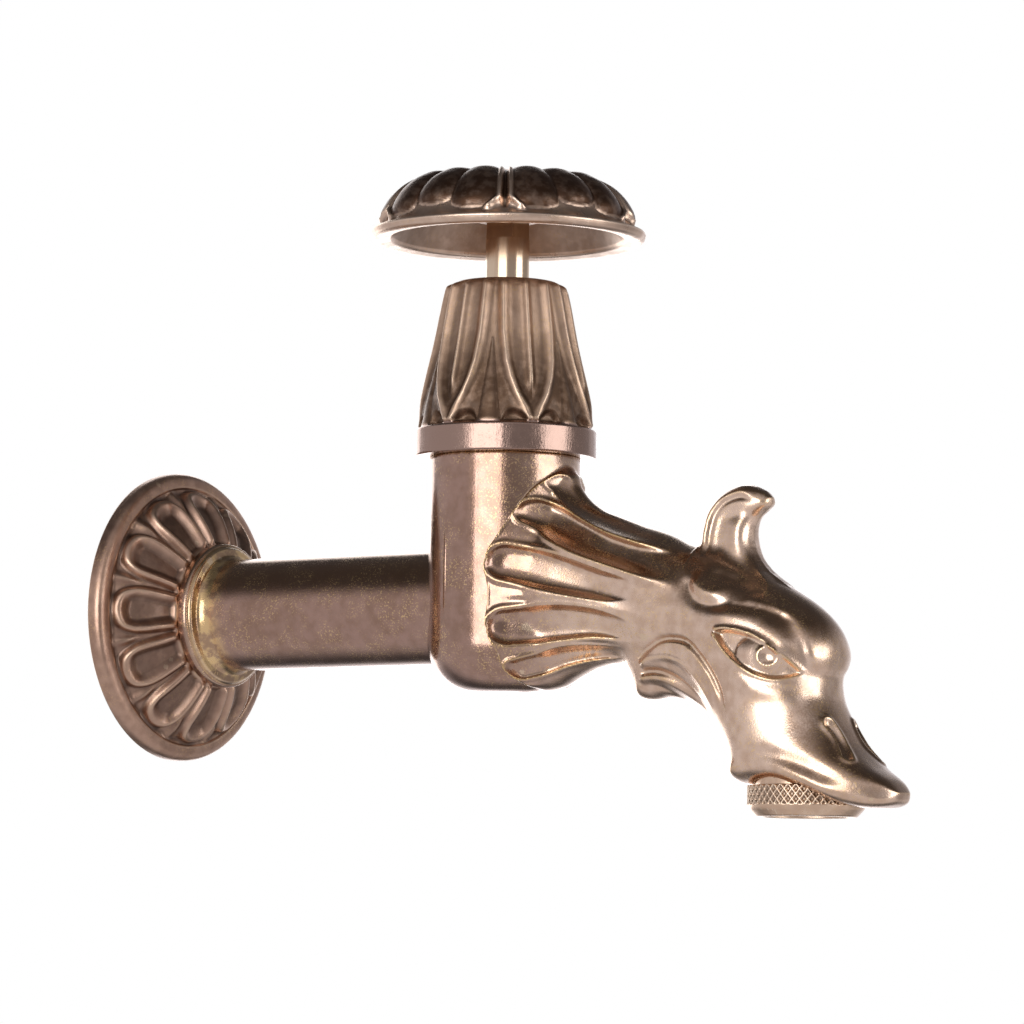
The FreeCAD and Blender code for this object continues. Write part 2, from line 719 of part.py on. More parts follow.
# ---------------------------------------------------------------- spindle and its fittings
def make_spindle():
    blank = turned("spindle_blank", [
        (0, dim.spindle_bottom),
        (dim.spindle_nose_radius, dim.spindle_bottom),
        (dim.spindle_nose_radius, dim.spindle_thread_bottom),
        (dim.spindle_thread_radius, dim.spindle_thread_bottom),
        (dim.spindle_thread_radius, dim.spindle_thread_top),
        (dim.stem_radius, dim.spindle_thread_top),
        (dim.stem_radius, dim.square_bottom),
        (0, dim.square_bottom),
    ], x=dim.valve_x)
    square = document.addObject("Part::Box", "spindle_square")
    bind(square, Length=dim.square_half_width * 2, Width=dim.square_half_width * 2)
    bind(square, Height=dim.spindle_top - dim.square_bottom)
    bind(square, Placement__Base__x=dim.valve_x - dim.square_half_width)
    bind(square, Placement__Base__y=-dim.square_half_width, Placement__Base__z=dim.square_bottom)
    socket = turned("jumper_socket", [
        (0, dim.spindle_bottom - dim.overcut),
        (dim.socket_radius, dim.spindle_bottom - dim.overcut),
        (dim.socket_radius, dim.clip_z - dim.clip_room),
        (dim.clip_outer_radius + dim.clip_room, dim.clip_z - dim.clip_room),
        (dim.clip_outer_radius + dim.clip_room, dim.clip_z + dim.clip_thickness + dim.clip_room),
        (dim.socket_radius, dim.clip_z + dim.clip_thickness + dim.clip_room),
        (dim.socket_radius, dim.socket_top),
        (0, dim.socket_top),
    ], x=dim.valve_x)
    tapped_hole = cylinder(
        "spindle_tapped_hole", dim.screw_radius, dim.spindle_top - dim.screw_length,
        dim.spindle_top, dim.valve_x
    )
    whole = fused("spindle_solid", [blank, square])
    return cut("spindle", cut("spindle_with_socket", whole, socket), tapped_hole)


def make_jumper():
    clip_top = dim.clip_z + dim.clip_thickness
    return turned("jumper", [
        (0, dim.stud_bottom),
        (dim.stud_radius, dim.stud_bottom),
        (dim.stud_radius, dim.jumper_plate_bottom),
        (dim.jumper_plate_radius, dim.jumper_plate_bottom),
        (dim.jumper_plate_radius, dim.jumper_plate_top),
        (dim.jumper_peg_radius, dim.jumper_plate_top),
        (dim.jumper_peg_radius, dim.clip_z),
        (dim.clip_inner_radius, dim.clip_z),
        (dim.clip_inner_radius, clip_top),
        (dim.jumper_peg_radius, clip_top),
        (dim.jumper_peg_radius, dim.jumper_peg_top),
        (0, dim.jumper_peg_top),
    ], x=dim.valve_x)


def make_jumper_clip():
    """A C-shaped snap ring in the groove of the jumper's peg."""
    ring = turned("jumper_clip_ring", ring_profile(
        dim.clip_inner_radius, dim.clip_outer_radius, dim.clip_z, dim.clip_z + dim.clip_thickness
    ), x=dim.valve_x)
    mouth = document.addObject("Part::Box", "jumper_clip_mouth")
    bind(mouth, Length=dim.clip_outer_radius * 2, Width=dim.clip_gap, Height=dim.clip_thickness * 3)
    bind(mouth, Placement__Base__x=dim.valve_x, Placement__Base__y=dim.clip_gap * -0.5)
    bind(mouth, Placement__Base__z=dim.clip_z - dim.clip_thickness)
    return cut("jumper_clip", ring, mouth)


def make_washer_set():
    """The rubber tap washer, the metal washer under it and the nut that holds both."""
    washer_bottom = dim.seat_top + dim.washer_lift
    plate_bottom = washer_bottom - dim.plate_washer_thickness
    washer = turned("tap_washer", ring_profile(
        dim.stud_radius, dim.washer_radius, washer_bottom, dim.jumper_plate_bottom
    ), x=dim.valve_x)
    plate = turned("washer_plate", ring_profile(
        dim.stud_radius, dim.plate_washer_radius, plate_bottom, washer_bottom
    ), x=dim.valve_x)
    nut_bottom = plate_bottom - dim.washer_nut_height
    nut_outer = hexagon("washer_nut_hexagon", dim.washer_nut_circumradius, nut_bottom, plate_bottom,
                        dim.valve_x)
    nut_bore = cylinder("washer_nut_bore", dim.stud_radius, nut_bottom - dim.overcut,
                        plate_bottom + dim.overcut, dim.valve_x)
    return [washer, plate, cut("washer_nut", nut_outer, nut_bore)]


# ---------------------------------------------------------------- handwheel
def make_handwheel():
    wall = dim.wheel_wall
    rim_top = dim.wheel_bottom + dim.wheel_rim_height
    rim_inner = dim.wheel_radius - dim.wheel_rim_width
    washer_seat = dim.screw_head_bottom - dim.lock_washer_thickness
    recess_radius = dim.screw_head_radius + dim.screw_head_play
    dome = turned("wheel_dome", [
        (dim.screw_radius + dim.thread_play, dim.hub_bottom),
        (dim.hub_radius, dim.hub_bottom),
        (dim.hub_radius, dim.wheel_crown_z - wall),
        (dim.wheel_crown_radius, dim.wheel_crown_z - wall),
        (dim.wheel_shoulder_radius - wall, dim.wheel_shoulder_z - wall,
         dim.wheel_shoulder_arc),
        (rim_inner, dim.wheel_bottom),
        (dim.wheel_radius, dim.wheel_bottom),
        (dim.wheel_radius, rim_top),
        (dim.wheel_radius - dim.wheel_rim_bead, rim_top),
        (dim.wheel_shoulder_radius, dim.wheel_shoulder_z),
        (dim.wheel_crown_radius, dim.wheel_crown_z, -dim.wheel_shoulder_arc),
        (recess_radius, dim.wheel_top, -dim.wheel_crown_arc),
        (recess_radius, washer_seat),
        (dim.screw_radius + dim.thread_play, washer_seat),
    ], x=dim.valve_x)
    first = math.radians(SIZES["groove_first_angle"])
    out = dim.groove_middle_radius
    groove = carve_ellipsoid(
        dome, "wheel_groove",
        (out * math.cos(first), out * math.sin(first), dim.groove_z),
        (dim.groove_radius, dim.groove_radius, dim.groove_half_length),
        Rotation(Vector(0, 0, 1), SIZES["groove_first_angle"]).multiply(
            Rotation(Vector(0, 1, 0), -SIZES["groove_lean"])
        ),
    )
    polar_copies(dome, groove, dim.groove_count, "Z_Axis")
    square_hole = document.addObject("Part::Box", "hub_square_hole")
    half = dim.square_half_width + dim.thread_play
    bind(square_hole, Length=half * 2, Width=half * 2)
    bind(square_hole, Height=dim.spindle_top - dim.hub_bottom + dim.overcut)
    bind(square_hole, Placement__Base__x=dim.valve_x - half, Placement__Base__y=-half)
    bind(square_hole, Placement__Base__z=dim.hub_bottom - dim.overcut)
    return cut("handwheel", dome, square_hole)


def make_handwheel_fixings():
    lock_washer = turned("handwheel_washer", ring_profile(
        dim.screw_radius + dim.thread_play, dim.lock_washer_radius,
        dim.screw_head_bottom - dim.lock_washer_thickness, dim.screw_head_bottom,
    ), x=dim.valve_x)
    tip = dim.spindle_top - dim.screw_length + dim.screw_tip_gap
    blank = turned("handwheel_screw_blank", [
        (0, tip),
        (dim.screw_radius, tip),
        (dim.screw_radius, dim.screw_head_bottom),
        (dim.screw_head_radius, dim.screw_head_bottom),
        (dim.screw_head_radius, dim.wheel_top - dim.screw_crown),
        (0, dim.wheel_top + dim.screw_crown, -dim.screw_crown_arc),
    ], x=dim.valve_x)
    slot = document.addObject("Part::Box", "screw_slot")
    bind(slot, Length=dim.screw_head_radius * 4, Width=dim.screw_slot_width)
    bind(slot, Height=dim.screw_slot_depth * 2)
    bind(slot, Placement__Base__x=dim.valve_x - dim.screw_head_radius * 2)
    bind(slot, Placement__Base__y=dim.screw_slot_width * -0.5)
    bind(slot, Placement__Base__z=dim.wheel_top + dim.screw_crown - dim.screw_slot_depth)
    return [lock_washer, cut("handwheel_screw", blank, slot)]


# ---------------------------------------------------------------- aerator
def make_aerator():
    thread = dim.outlet_thread_radius - dim.thread_play
    knurl_top = dim.outlet_socket_bottom
    ring = turned("aerator_ring", [
        (dim.ring_lip_radius, dim.ring_bottom),
        (dim.ring_bottom_radius, dim.ring_bottom),
        (dim.knurl_radius, dim.knurl_bottom),
        (dim.knurl_radius, knurl_top),
        (thread, knurl_top),
        (thread, dim.ring_thread_top),
        (dim.ring_bore_radius, dim.ring_thread_top),
        (dim.ring_bore_radius, dim.ring_bottom + dim.ring_lip_height),
        (dim.ring_lip_radius, dim.ring_bottom + dim.ring_lip_height),
    ], x=dim.outlet_x)
    carve_holes(ring, "knurl_groove", dim.knurl_depth, dim.knurl_radius, dim.knurl_count)
    grid_bottom = dim.ring_bottom + dim.ring_lip_height
    grid_top = grid_bottom + dim.grid_thickness
    grid_radius = dim.ring_bore_radius - dim.thread_play
    insert_floor = dim.insert_top - dim.screen_thickness
    insert = turned("aerator_insert", [
        (grid_radius - dim.insert_wall, grid_top),
        (grid_radius, grid_top),
        (grid_radius, insert_floor),
        (grid_radius - dim.insert_wall, insert_floor),
    ], x=dim.outlet_x)
    grid = turned("outlet_grid", [
        (0, grid_bottom), (grid_radius, grid_bottom), (grid_radius, grid_top), (0, grid_top),
    ], x=dim.outlet_x)
    screen = turned("inlet_screen", [
        (0, insert_floor), (grid_radius, insert_floor), (grid_radius, dim.insert_top),
        (0, dim.insert_top),
    ], x=dim.outlet_x)
    for plate, hole_radius, count in (
        (grid, dim.grid_hole_radius, dim.grid_hole_count),
        (screen, dim.screen_hole_radius, dim.screen_hole_count),
    ):
        carve_holes(plate, plate.Name + "_outer_holes", hole_radius, dim.outer_hole_ring, count)
        carve_holes(plate, plate.Name + "_inner_holes", hole_radius, dim.inner_hole_ring,
                    dim.inner_hole_count)
    gasket = turned("aerator_gasket", ring_profile(
        dim.ring_lip_radius, dim.outlet_thread_radius - dim.thread_play,
        dim.ring_thread_top, dim.outlet_socket_top,
    ), x=dim.outlet_x)
    return [ring, insert, grid, screen, gasket]


# ---------------------------------------------------------------- build, check and write
def relabel(piece, label):
    piece.Label = label
    return piece


def make_all():
    inlet_pipe, cast_body = make_inlet_and_cast_body()
    washer, lower_ring, upper_ring, bush, gland_nut = make_gland()
    packing = relabel(fused("packing_pair", [lower_ring, upper_ring]), "gland_packing")
    pieces = [
        relabel(inlet_pipe, "inlet_pipe"),
        relabel(cast_body, "cast_body"),
        make_wall_rosette(),
        make_headwork(),
        make_headwork_gasket(),
        washer, packing, bush, gland_nut,
        make_bonnet(),
        make_spindle(),
        make_jumper(),
        make_jumper_clip(),
        make_handwheel(),
    ]
    return pieces + make_washer_set() + make_handwheel_fixings() + make_aerator()


pieces = make_all()
document.recompute()
for item in document.Objects:
    if "Invalid" in item.State or "Error" in item.State:
        raise RuntimeError(f"{item.Name} failed: {item.State}")
for piece in pieces:
    if piece.Shape.isNull() or not piece.Shape.isValid():
        raise RuntimeError(f"{piece.Label} has no valid shape")

os.makedirs("parts", exist_ok=True)
for piece in pieces:
    piece.Shape.exportStep(f"parts/{piece.Label}.step")
    print(f"{piece.Label}: {len(piece.Shape.Solids)} solid, {piece.Shape.Volume:.0f} mm3")
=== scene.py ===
import json
import math

import bpy
import numpy as np
import openvdb
from mathutils import Matrix, Vector


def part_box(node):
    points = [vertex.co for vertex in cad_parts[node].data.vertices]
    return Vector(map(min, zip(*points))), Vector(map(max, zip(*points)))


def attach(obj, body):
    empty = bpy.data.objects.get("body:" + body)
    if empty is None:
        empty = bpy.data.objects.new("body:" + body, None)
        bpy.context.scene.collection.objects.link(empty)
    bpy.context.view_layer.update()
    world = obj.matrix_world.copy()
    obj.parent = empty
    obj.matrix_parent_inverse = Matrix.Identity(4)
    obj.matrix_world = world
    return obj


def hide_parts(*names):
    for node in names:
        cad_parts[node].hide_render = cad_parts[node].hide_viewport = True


# The looks of an ornamental garden tap: a beast-head spout, a fluted bonnet and rosette and a
# lobed handwheel. Lengths in this file are millimetres; MM turns them into Blender's metres.

MM = 0.001
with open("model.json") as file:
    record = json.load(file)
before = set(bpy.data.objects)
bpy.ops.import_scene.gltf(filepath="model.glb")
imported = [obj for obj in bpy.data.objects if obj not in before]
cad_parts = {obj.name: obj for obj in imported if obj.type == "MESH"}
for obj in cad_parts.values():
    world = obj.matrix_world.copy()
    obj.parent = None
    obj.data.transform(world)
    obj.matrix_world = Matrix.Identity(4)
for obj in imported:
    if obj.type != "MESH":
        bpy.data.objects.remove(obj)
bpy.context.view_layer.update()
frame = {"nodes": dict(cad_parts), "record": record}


def node_box(name):
    """A CAD node's lowest and highest corners, in millimetres."""
    low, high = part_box(name)
    return np.array(low) / MM, np.array(high) / MM


# ---------------- places read from the frame
WHEEL_LOW, WHEEL_HIGH = node_box("handwheel")
BONNET_LOW, BONNET_HIGH = node_box("bonnet")
_, ROSETTE_HIGH = node_box("wall_rosette")
RING_LOW, RING_HIGH = node_box("aerator_ring")

VALVE_X = (WHEEL_LOW[0] + WHEEL_HIGH[0]) / 2
OUTLET_X = (RING_LOW[0] + RING_HIGH[0]) / 2
WHEEL_RADIUS = (WHEEL_HIGH[0] - WHEEL_LOW[0]) / 2
FLANGE_RADIUS = (BONNET_HIGH[0] - BONNET_LOW[0]) / 2
ROSETTE_RADIUS = ROSETTE_HIGH[2]
ROSETTE_DEPTH = ROSETTE_HIGH[0]
KNURL_RADIUS = (RING_HIGH[0] - RING_LOW[0]) / 2
BARREL_TOP = BONNET_LOW[2]
BARREL_BOTTOM = -19.0
BARREL_RADIUS = 16.4
BARREL_ROUNDING = 11.0
PIPE_RADIUS = 12.5
PIPE_BORE = 7
PIPE_END = 79
THREAD_START = -15
THREAD_RADIUS = 10.48
NECK_RADIUS = 9.9
KNURL_BOTTOM = -44.0
KNURL_TOP = -39.9
SOCKET_TOP = -33.0
HEADWORK_ROOM_RADIUS = 12.25
HEADWORK_ROOM_FLOOR = 10.5


# ---------------- mesh helpers
def smoothstep(low, high, value):
    """0 below low, 1 above high, and a smooth ramp between."""
    t = np.clip((value - low) / (high - low), 0.0, 1.0)
    return t * t * (3.0 - 2.0 * t)


def bump(distance, width):
    """A soft round-topped ridge profile, 1 at distance 0."""
    return np.exp(-((distance / width) ** 2))


def make_object(name, vertices, faces, slot, body, replaced, painted_shade=None):
    """A smooth-shaded mesh object from millimetre vertices. It rides on a CAD body and stands in
    for the replaced CAD nodes. The last argument gives the painted shade at each vertex, 0 to 1."""
    mesh = bpy.data.meshes.new(name)
    mesh.from_pydata((vertices * MM).tolist(), [], faces.tolist())
    mesh.validate()
    mesh.polygons.foreach_set("use_smooth", [True] * len(mesh.polygons))
    mesh.materials.append(MATERIALS[slot])
    if painted_shade is not None:
        mesh.attributes.new("painted_shade", "FLOAT", "POINT").data.foreach_set("value", painted_shade)
    mesh.update()
    piece = bpy.data.objects.new(name, mesh)
    bpy.context.scene.collection.objects.link(piece)
    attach(piece, body)
    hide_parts(*replaced)
    return piece


def catmull_rom(points, step=0.6):
    """A smooth line through a few given points, as many points about step apart."""
    p = np.asarray(points, dtype=float)
    p = np.vstack([2 * p[0] - p[1], p, 2 * p[-1] - p[-2]])
    line = []
    for a, b, c, d in zip(p[:-3], p[1:-2], p[2:-1], p[3:]):
        count = max(2, int(np.linalg.norm(c - b) / step))
        for t in np.arange(count) / count:
            line.append(0.5 * (2 * b + (c - a) * t + (2 * a - 5 * b + 4 * c - d) * t ** 2
                               + (3 * b - a - 3 * c + d) * t ** 3))
    line.append(p[-2])
    return np.array(line)


def line_distance(line, x, z):
    """Distance from each (x, z) to a polyline, the share of its length there, and the side."""
    start, finish = line[:-1], line[1:]
    lengths = np.linalg.norm(finish - start, axis=1)
    along = np.concatenate([[0.0], np.cumsum(lengths)])
    best = np.full(x.shape, np.inf)
    share = np.zeros(x.shape)
    side = np.ones(x.shape)
    for i in range(len(start)):
        d = finish[i] - start[i]
        t = np.clip(((x - start[i, 0]) * d[0] + (z - start[i, 1]) * d[1]) / (d @ d), 0.0, 1.0)
        dx = x - start[i, 0] - t * d[0]
        dz = z - start[i, 1] - t * d[1]
        distance = np.hypot(dx, dz)
        nearer = distance < best
        best = np.where(nearer, distance, best)
        share = np.where(nearer, (along[i] + t * lengths[i]) / along[-1], share)
        side = np.where(nearer, np.sign(d[0] * dz - d[1] * dx), side)
    return best, share, np.where(side == 0, 1.0, side)


def inside_polygon(loop, x, z):
    """True where (x, z) is inside a closed loop of points."""
    inside = np.zeros(x.shape, dtype=bool)
    for (x0, z0), (x1, z1) in zip(loop, np.roll(loop, -1, axis=0)):
        if z0 == z1:
            continue
        crosses = (z0 > z) != (z1 > z)
        inside ^= crosses & (x < (x1 - x0) * (z - z0) / (z1 - z0) + x0)
    return inside


def profile_loop(corners, step):
    """A closed profile from (radius, height, rounding) corners, as points about step apart."""
    knots = []
    for index, corner in enumerate(corners):
        here = np.array(corner[:2], dtype=float)
        ends = []
        for neighbour in (corners[index - 1], corners[(index + 1) % len(corners)]):
            way = np.array(neighbour[:2], dtype=float) - here
            length = np.linalg.norm(way)
            ends.append(here + way / length * min(corner[2], 0.5 * length))
        t = np.linspace(0.0, 1.0, max(2, int(2 * corner[2] / step) + 1))[:, None]
        knots.append((1 - t) ** 2 * ends[0] + 2 * t * (1 - t) * here + t ** 2 * ends[1])
    points = []
    for bend, following in zip(knots, knots[1:] + knots[:1]):
        points.extend(bend)
        gap = following[0] - bend[-1]
        count = int(np.linalg.norm(gap) / step)
        points.extend(bend[-1] + gap * k / (count + 1) for k in range(1, count + 1))
    points = np.array(points)
    apart = np.linalg.norm(points - np.roll(points, 1, axis=0), axis=1) > 1e-4
    return points[apart]


def turned_mesh(corners, step, columns, relief):
    """Points, quads and painted shade of a closed piece turned about Z. relief(radius, height, angle in
    degrees) gives how far the surface is raised along its own normal, and its painted shade."""
    loop = profile_loop(corners, step)
    along = np.roll(loop, -1, axis=0) - np.roll(loop, 1, axis=0)
    normal = np.stack([along[:, 1], -along[:, 0]], axis=1)
    normal /= np.linalg.norm(normal, axis=1)[:, None]
    area = np.sum(loop[:, 0] * np.roll(loop[:, 1], -1) - np.roll(loop[:, 0], -1) * loop[:, 1])
    normal *= np.sign(area)
    angle = np.arange(columns) * 360.0 / columns
    radius, turn = np.meshgrid(loop[:, 0], angle, indexing="ij")
    height = np.repeat(loop[:, 1:2], columns, axis=1)
    lift, painted_shade = relief(radius, height, turn)
    radius = radius + lift * normal[:, :1]
    height = height + lift * normal[:, 1:]
    turn = np.radians(turn)
    points = np.stack([radius * np.cos(turn), radius * np.sin(turn), height], axis=-1)
    row, column = np.meshgrid(np.arange(len(loop)), np.arange(columns), indexing="ij")
    next_row = (row + 1) % len(loop)
    next_column = (column + 1) % columns
    corners_of_quads = [(row, column), (next_row, column), (next_row, next_column), (row, next_column)]
    quads = np.stack([r * columns + c for r, c in corners_of_quads], axis=-1).reshape(-1, 4)
    if area > 0:
        quads = quads[:, ::-1]
    return points.reshape(-1, 3), quads, painted_shade.reshape(-1)


def make_turned(name, slot, body, replaced, corners, step, columns, relief, centre_x=None):
    """A piece turned about an upright axis at centre_x, or without one about the tap's X axis."""
    points, quads, painted_shade = turned_mesh(corners, step, columns, relief)
    if centre_x is None:
        points = np.stack([points[:, 2], points[:, 1], -points[:, 0]], axis=1)
    else:
        points[:, 0] += centre_x
    make_object(name, points, quads, slot, body, replaced, painted_shade)


# ---------------- beast-head spout
# The outline in the tap's middle plane, as (x, z): the top line from the barrel to the lip's tip,
# and the bottom line from the barrel to the same tip.
TOP_LINE = [
    (84, 31), (98, 30.6), (104.5, 29.4), (107.2, 27.4), (108.6, 24.6), (111, 21.9), (114.6, 19.6),
    (118.9, 18), (125, 15.9), (130.5, 14.2), (137.2, 11.4), (142.6, 10.2), (147.6, 8.8),
    (152.3, 6.5), (155.4, 4.4), (161.2, 1.2), (166.5, -2.2), (170.1, -5.6), (172.2, -9.2),
    (173.0, -12.8), (172.2, -16), (171.2, -18), (171.6, -21.8), (173.4, -25.8), (175.2, -29.1),
    (177.4, -32.4), (181.2, -35.9), (185.8, -39.0), (188.2, -41.6),
]
BOTTOM_LINE = [
    (84, -15), (92, -18.0), (99.5, -18.8), (103.5, -18.2), (107.7, -16.2), (112.7, -14.3),
    (117.8, -13.4), (121.4, -13.8), (122.9, -16), (123.9, -19), (125.2, -20.8), (128, -21.3),
    (132.4, -20.9), (137.4, -21.9), (141.2, -23.6), (145, -27), (147.6, -30.4), (149.9, -34),
    (150.3, -36.4), (150.9, -38.4), (153.0, -39.6), (157.5, -39.6), (163.4, -40.0), (169.2, -41.6),
    (175.6, -43.7), (180.4, -44.7), (184.6, -44.6), (187.4, -43.6), (188.2, -41.6),
]
# Half widths of the spout at places in the middle plane, as (x, z, half width).
HALF_WIDTHS = [
    (88, 5, 16.9), (95, 6, 16.2), (95, -12, 15.6), (95, 22, 13.5), (101, 5, 14.6), (101, 24, 10.6),
    (107, 6, 13.4), (107, -10, 12.0), (108, 20, 9.6), (115, 3, 12.1), (122, 2, 11.5),
    (130, 0, 11.6), (138, -2, 12.2), (134, -16, 9.8), (140, -20, 11), (124, -17, 8.2),
    (146, -6, 13.2), (152, -12, 14.2), (158, -8, 14.4), (160, -15, 14.6), (166, -12, 14.4),
    (170, -12, 13.4), (150, -24, 13.4), (156, -24, 14), (163, -22, 14), (169, -22, 12.4),
    (154, -32, 13.8), (160, -31, 13.8), (167, -31, 12.4), (172.5, -28, 8.6), (177, -33, 8.9),
    (153, -37, 14.8), (159, -38, 15.4), (166, -39, 15.4), (173, -40, 14.8), (180, -42, 12.8),
    (185, -42, 8.6),
]
GRID_STEP = 0.29
GRID_X = (66.0, 190.0)
GRID_Z = (-49.0, 34.0)
HALF_DEPTH = 20.3
SHELL_THICKNESS = 2.2
WIDTH_REACH = 6.0
MOST_TRIANGLES = 185000


def weighted_half_width(x, z):
    """A smooth blend of the stated half widths."""
    total = np.zeros(x.shape)
    weights = np.full(x.shape, 1e-12)
    for px, pz, width in HALF_WIDTHS:
        w = np.exp(-((x - px) ** 2 + (z - pz) ** 2) / (2 * WIDTH_REACH ** 2))
        total += w * width
        weights += w
    return total / weights


def stroke(x, z, points, width, height, fade_in, fade_out):
    """A raised (or, with a negative height, sunk) line that fades at both ends."""
    line = catmull_rom(points)
    distance, share, _ = line_distance(line, x, z)
    taper = 2.2 * width / np.linalg.norm(np.diff(line, axis=0), axis=1).sum()
    ends = smoothstep(0.0, max(fade_in, taper), share)
    ends *= smoothstep(0.0, max(fade_out, taper), 1.0 - share)
    return height * bump(distance, width) * ends


# Spoon-shaped flutes: spine points from the round end as (x, z, half width), then rim, bowl depth.
FLUTES = [
    ([(99.8, 7.9, 4.2), (103.4, 7.1, 4.4), (109.6, 5.6, 4.1), (116.3, 3.8, 3.6), (122.3, 2.3, 3.0),
      (131, 0.6, 2.0)], 0.6, 1.75),
    ([(100.1, -6.0, 4.2), (103.4, -5.6, 4.2), (109.3, -5.1, 3.9), (117.7, -5.2, 3.3), (124.3, -6.4, 2.7),
      (130, -8.2, 1.8)], 0.6, 1.75),
    ([(100.8, -14.9, 2.1), (103.6, -13.9, 2.1), (109, -12.2, 1.9), (115, -11.3, 1.6), (121, -11.3, 1.3),
      (125, -11.9, 1.0)], 0.6, 1.9),
    ([(103.6, 18.9, 3.0), (106.4, 17.6, 3.4), (111, 15, 3.4), (117, 12.2, 3.2), (123, 10, 3.2),
      (132, 7.2, 3.4), (140, 5.4, 3.2)], 0.6, 1.7),
    ([(106.4, 25.6, 1.9), (109, 22.8, 2.1), (114, 19.4, 2.1), (122, 15.9, 2.1), (134, 12.2, 1.9)],
     0.5, 1.3),
]
# The back edge of the raised shell that carries the flutes, from its top down.
SHELL_EDGE = [
    (106, 29), (102.4, 24.6), (100.4, 20.8), (98.6, 17), (96.9, 13.6), (95.3, 9.8), (95.0, 6.4),
    (95.5, 1.4), (95.2, -4.2), (95.8, -8.2), (97.0, -11), (97.5, -14.6), (99.4, -18), (103, -22),
]


def flute_relief(x, z):
    """The spoon-shaped flutes that spread from the barrel, and the bands between them."""
    relief = np.zeros(x.shape)
    for rows, rim, bowl in FLUTES:
        spine = np.array(rows)[:, :2]
        line = catmull_rom(spine)
        marks = np.linspace(0.0, 1.0, len(rows))
        distance, share, _ = line_distance(line, x, z)
        r = distance / np.interp(share, marks, np.array(rows)[:, 2])
        fade = 1.0 - smoothstep(0.5, 1.0, share)
        relief += fade * rim * bump(r - 1.0, 0.17)
        relief -= fade * bowl * np.clip(1.0 - (r / 0.87) ** 3, 0.0, 1.0) ** 0.8
    bands = [
        ([(97.5, 14.6), (103.9, 13.7), (111, 11.1), (121.7, 7.0), (135.1, 2.9), (143, 1.1)], 1.5, 1.15),
        ([(96.5, 1.2), (103, 0.9), (110, 0.2), (118, -1.0), (126, -2.8), (131, -4.2)], 1.2, 0.9),
        ([(98.6, -12.7), (105, -10.3), (113, -9), (120, -8.8), (127, -10.2)], 1.0, 0.8),
        ([(104, 22.6), (108.9, 19.6), (114.2, 16.9), (123, 13.3), (132, 10.9), (140, 9)], 0.85, 0.7),
    ]
    for points, width, height in bands:
        relief += stroke(x, z, points, width, height, 0.35, 0.3)
    return relief


UPPER_LID = [(149.9, -7.9), (153.5, -7.6), (158.8, -8.8), (163.3, -11.2), (166.9, -14.2), (169.5, -17.3)]
LOWER_LID = [(149.9, -7.9), (152.8, -12), (156.2, -14.9), (160.9, -17.6), (165.3, -18.5), (169.5, -17.3)]
PUPIL = (163.2, -13.7)


def eye_relief(x, z):
    """An almond eye with thin raised lids, an oval eyeball, a ringed iris and a hollow pupil."""
    upper = catmull_rom(UPPER_LID, 0.3)
    lower = catmull_rom(LOWER_LID, 0.3)
    inside = inside_polygon(np.vstack([upper, lower[::-1][1:-1]]), x, z)
    to_upper, _, _ = line_distance(upper, x, z)
    to_lower, _, _ = line_distance(lower, x, z)
    depth = np.where(inside, np.minimum(to_upper, to_lower), 0.0)
    relief = -1.15 * smoothstep(0.0, 1.1, depth)
    ball = np.clip(1.0 - ((x - 161.2) / 6.0) ** 2 - ((z + 13.3) / 4.6) ** 2, 0.0, 1.0)
    relief += np.where(inside, 1.4 * ball ** 0.7 * smoothstep(0.1, 1.2, depth), 0.0)
    iris = np.hypot(x - PUPIL[0], z - PUPIL[1])
    ring = 0.5 * bump(iris - 2.0, 0.55) - 0.75 * bump(iris, 1.0) + 0.35 * bump(iris, 0.42)
    relief += np.where(inside, ring, 0.0)
    relief += stroke(x, z, UPPER_LID, 0.6, 0.6, 0.02, 0.03)
    relief += stroke(x, z, LOWER_LID, 0.55, 0.5, 0.02, 0.03)
    return relief


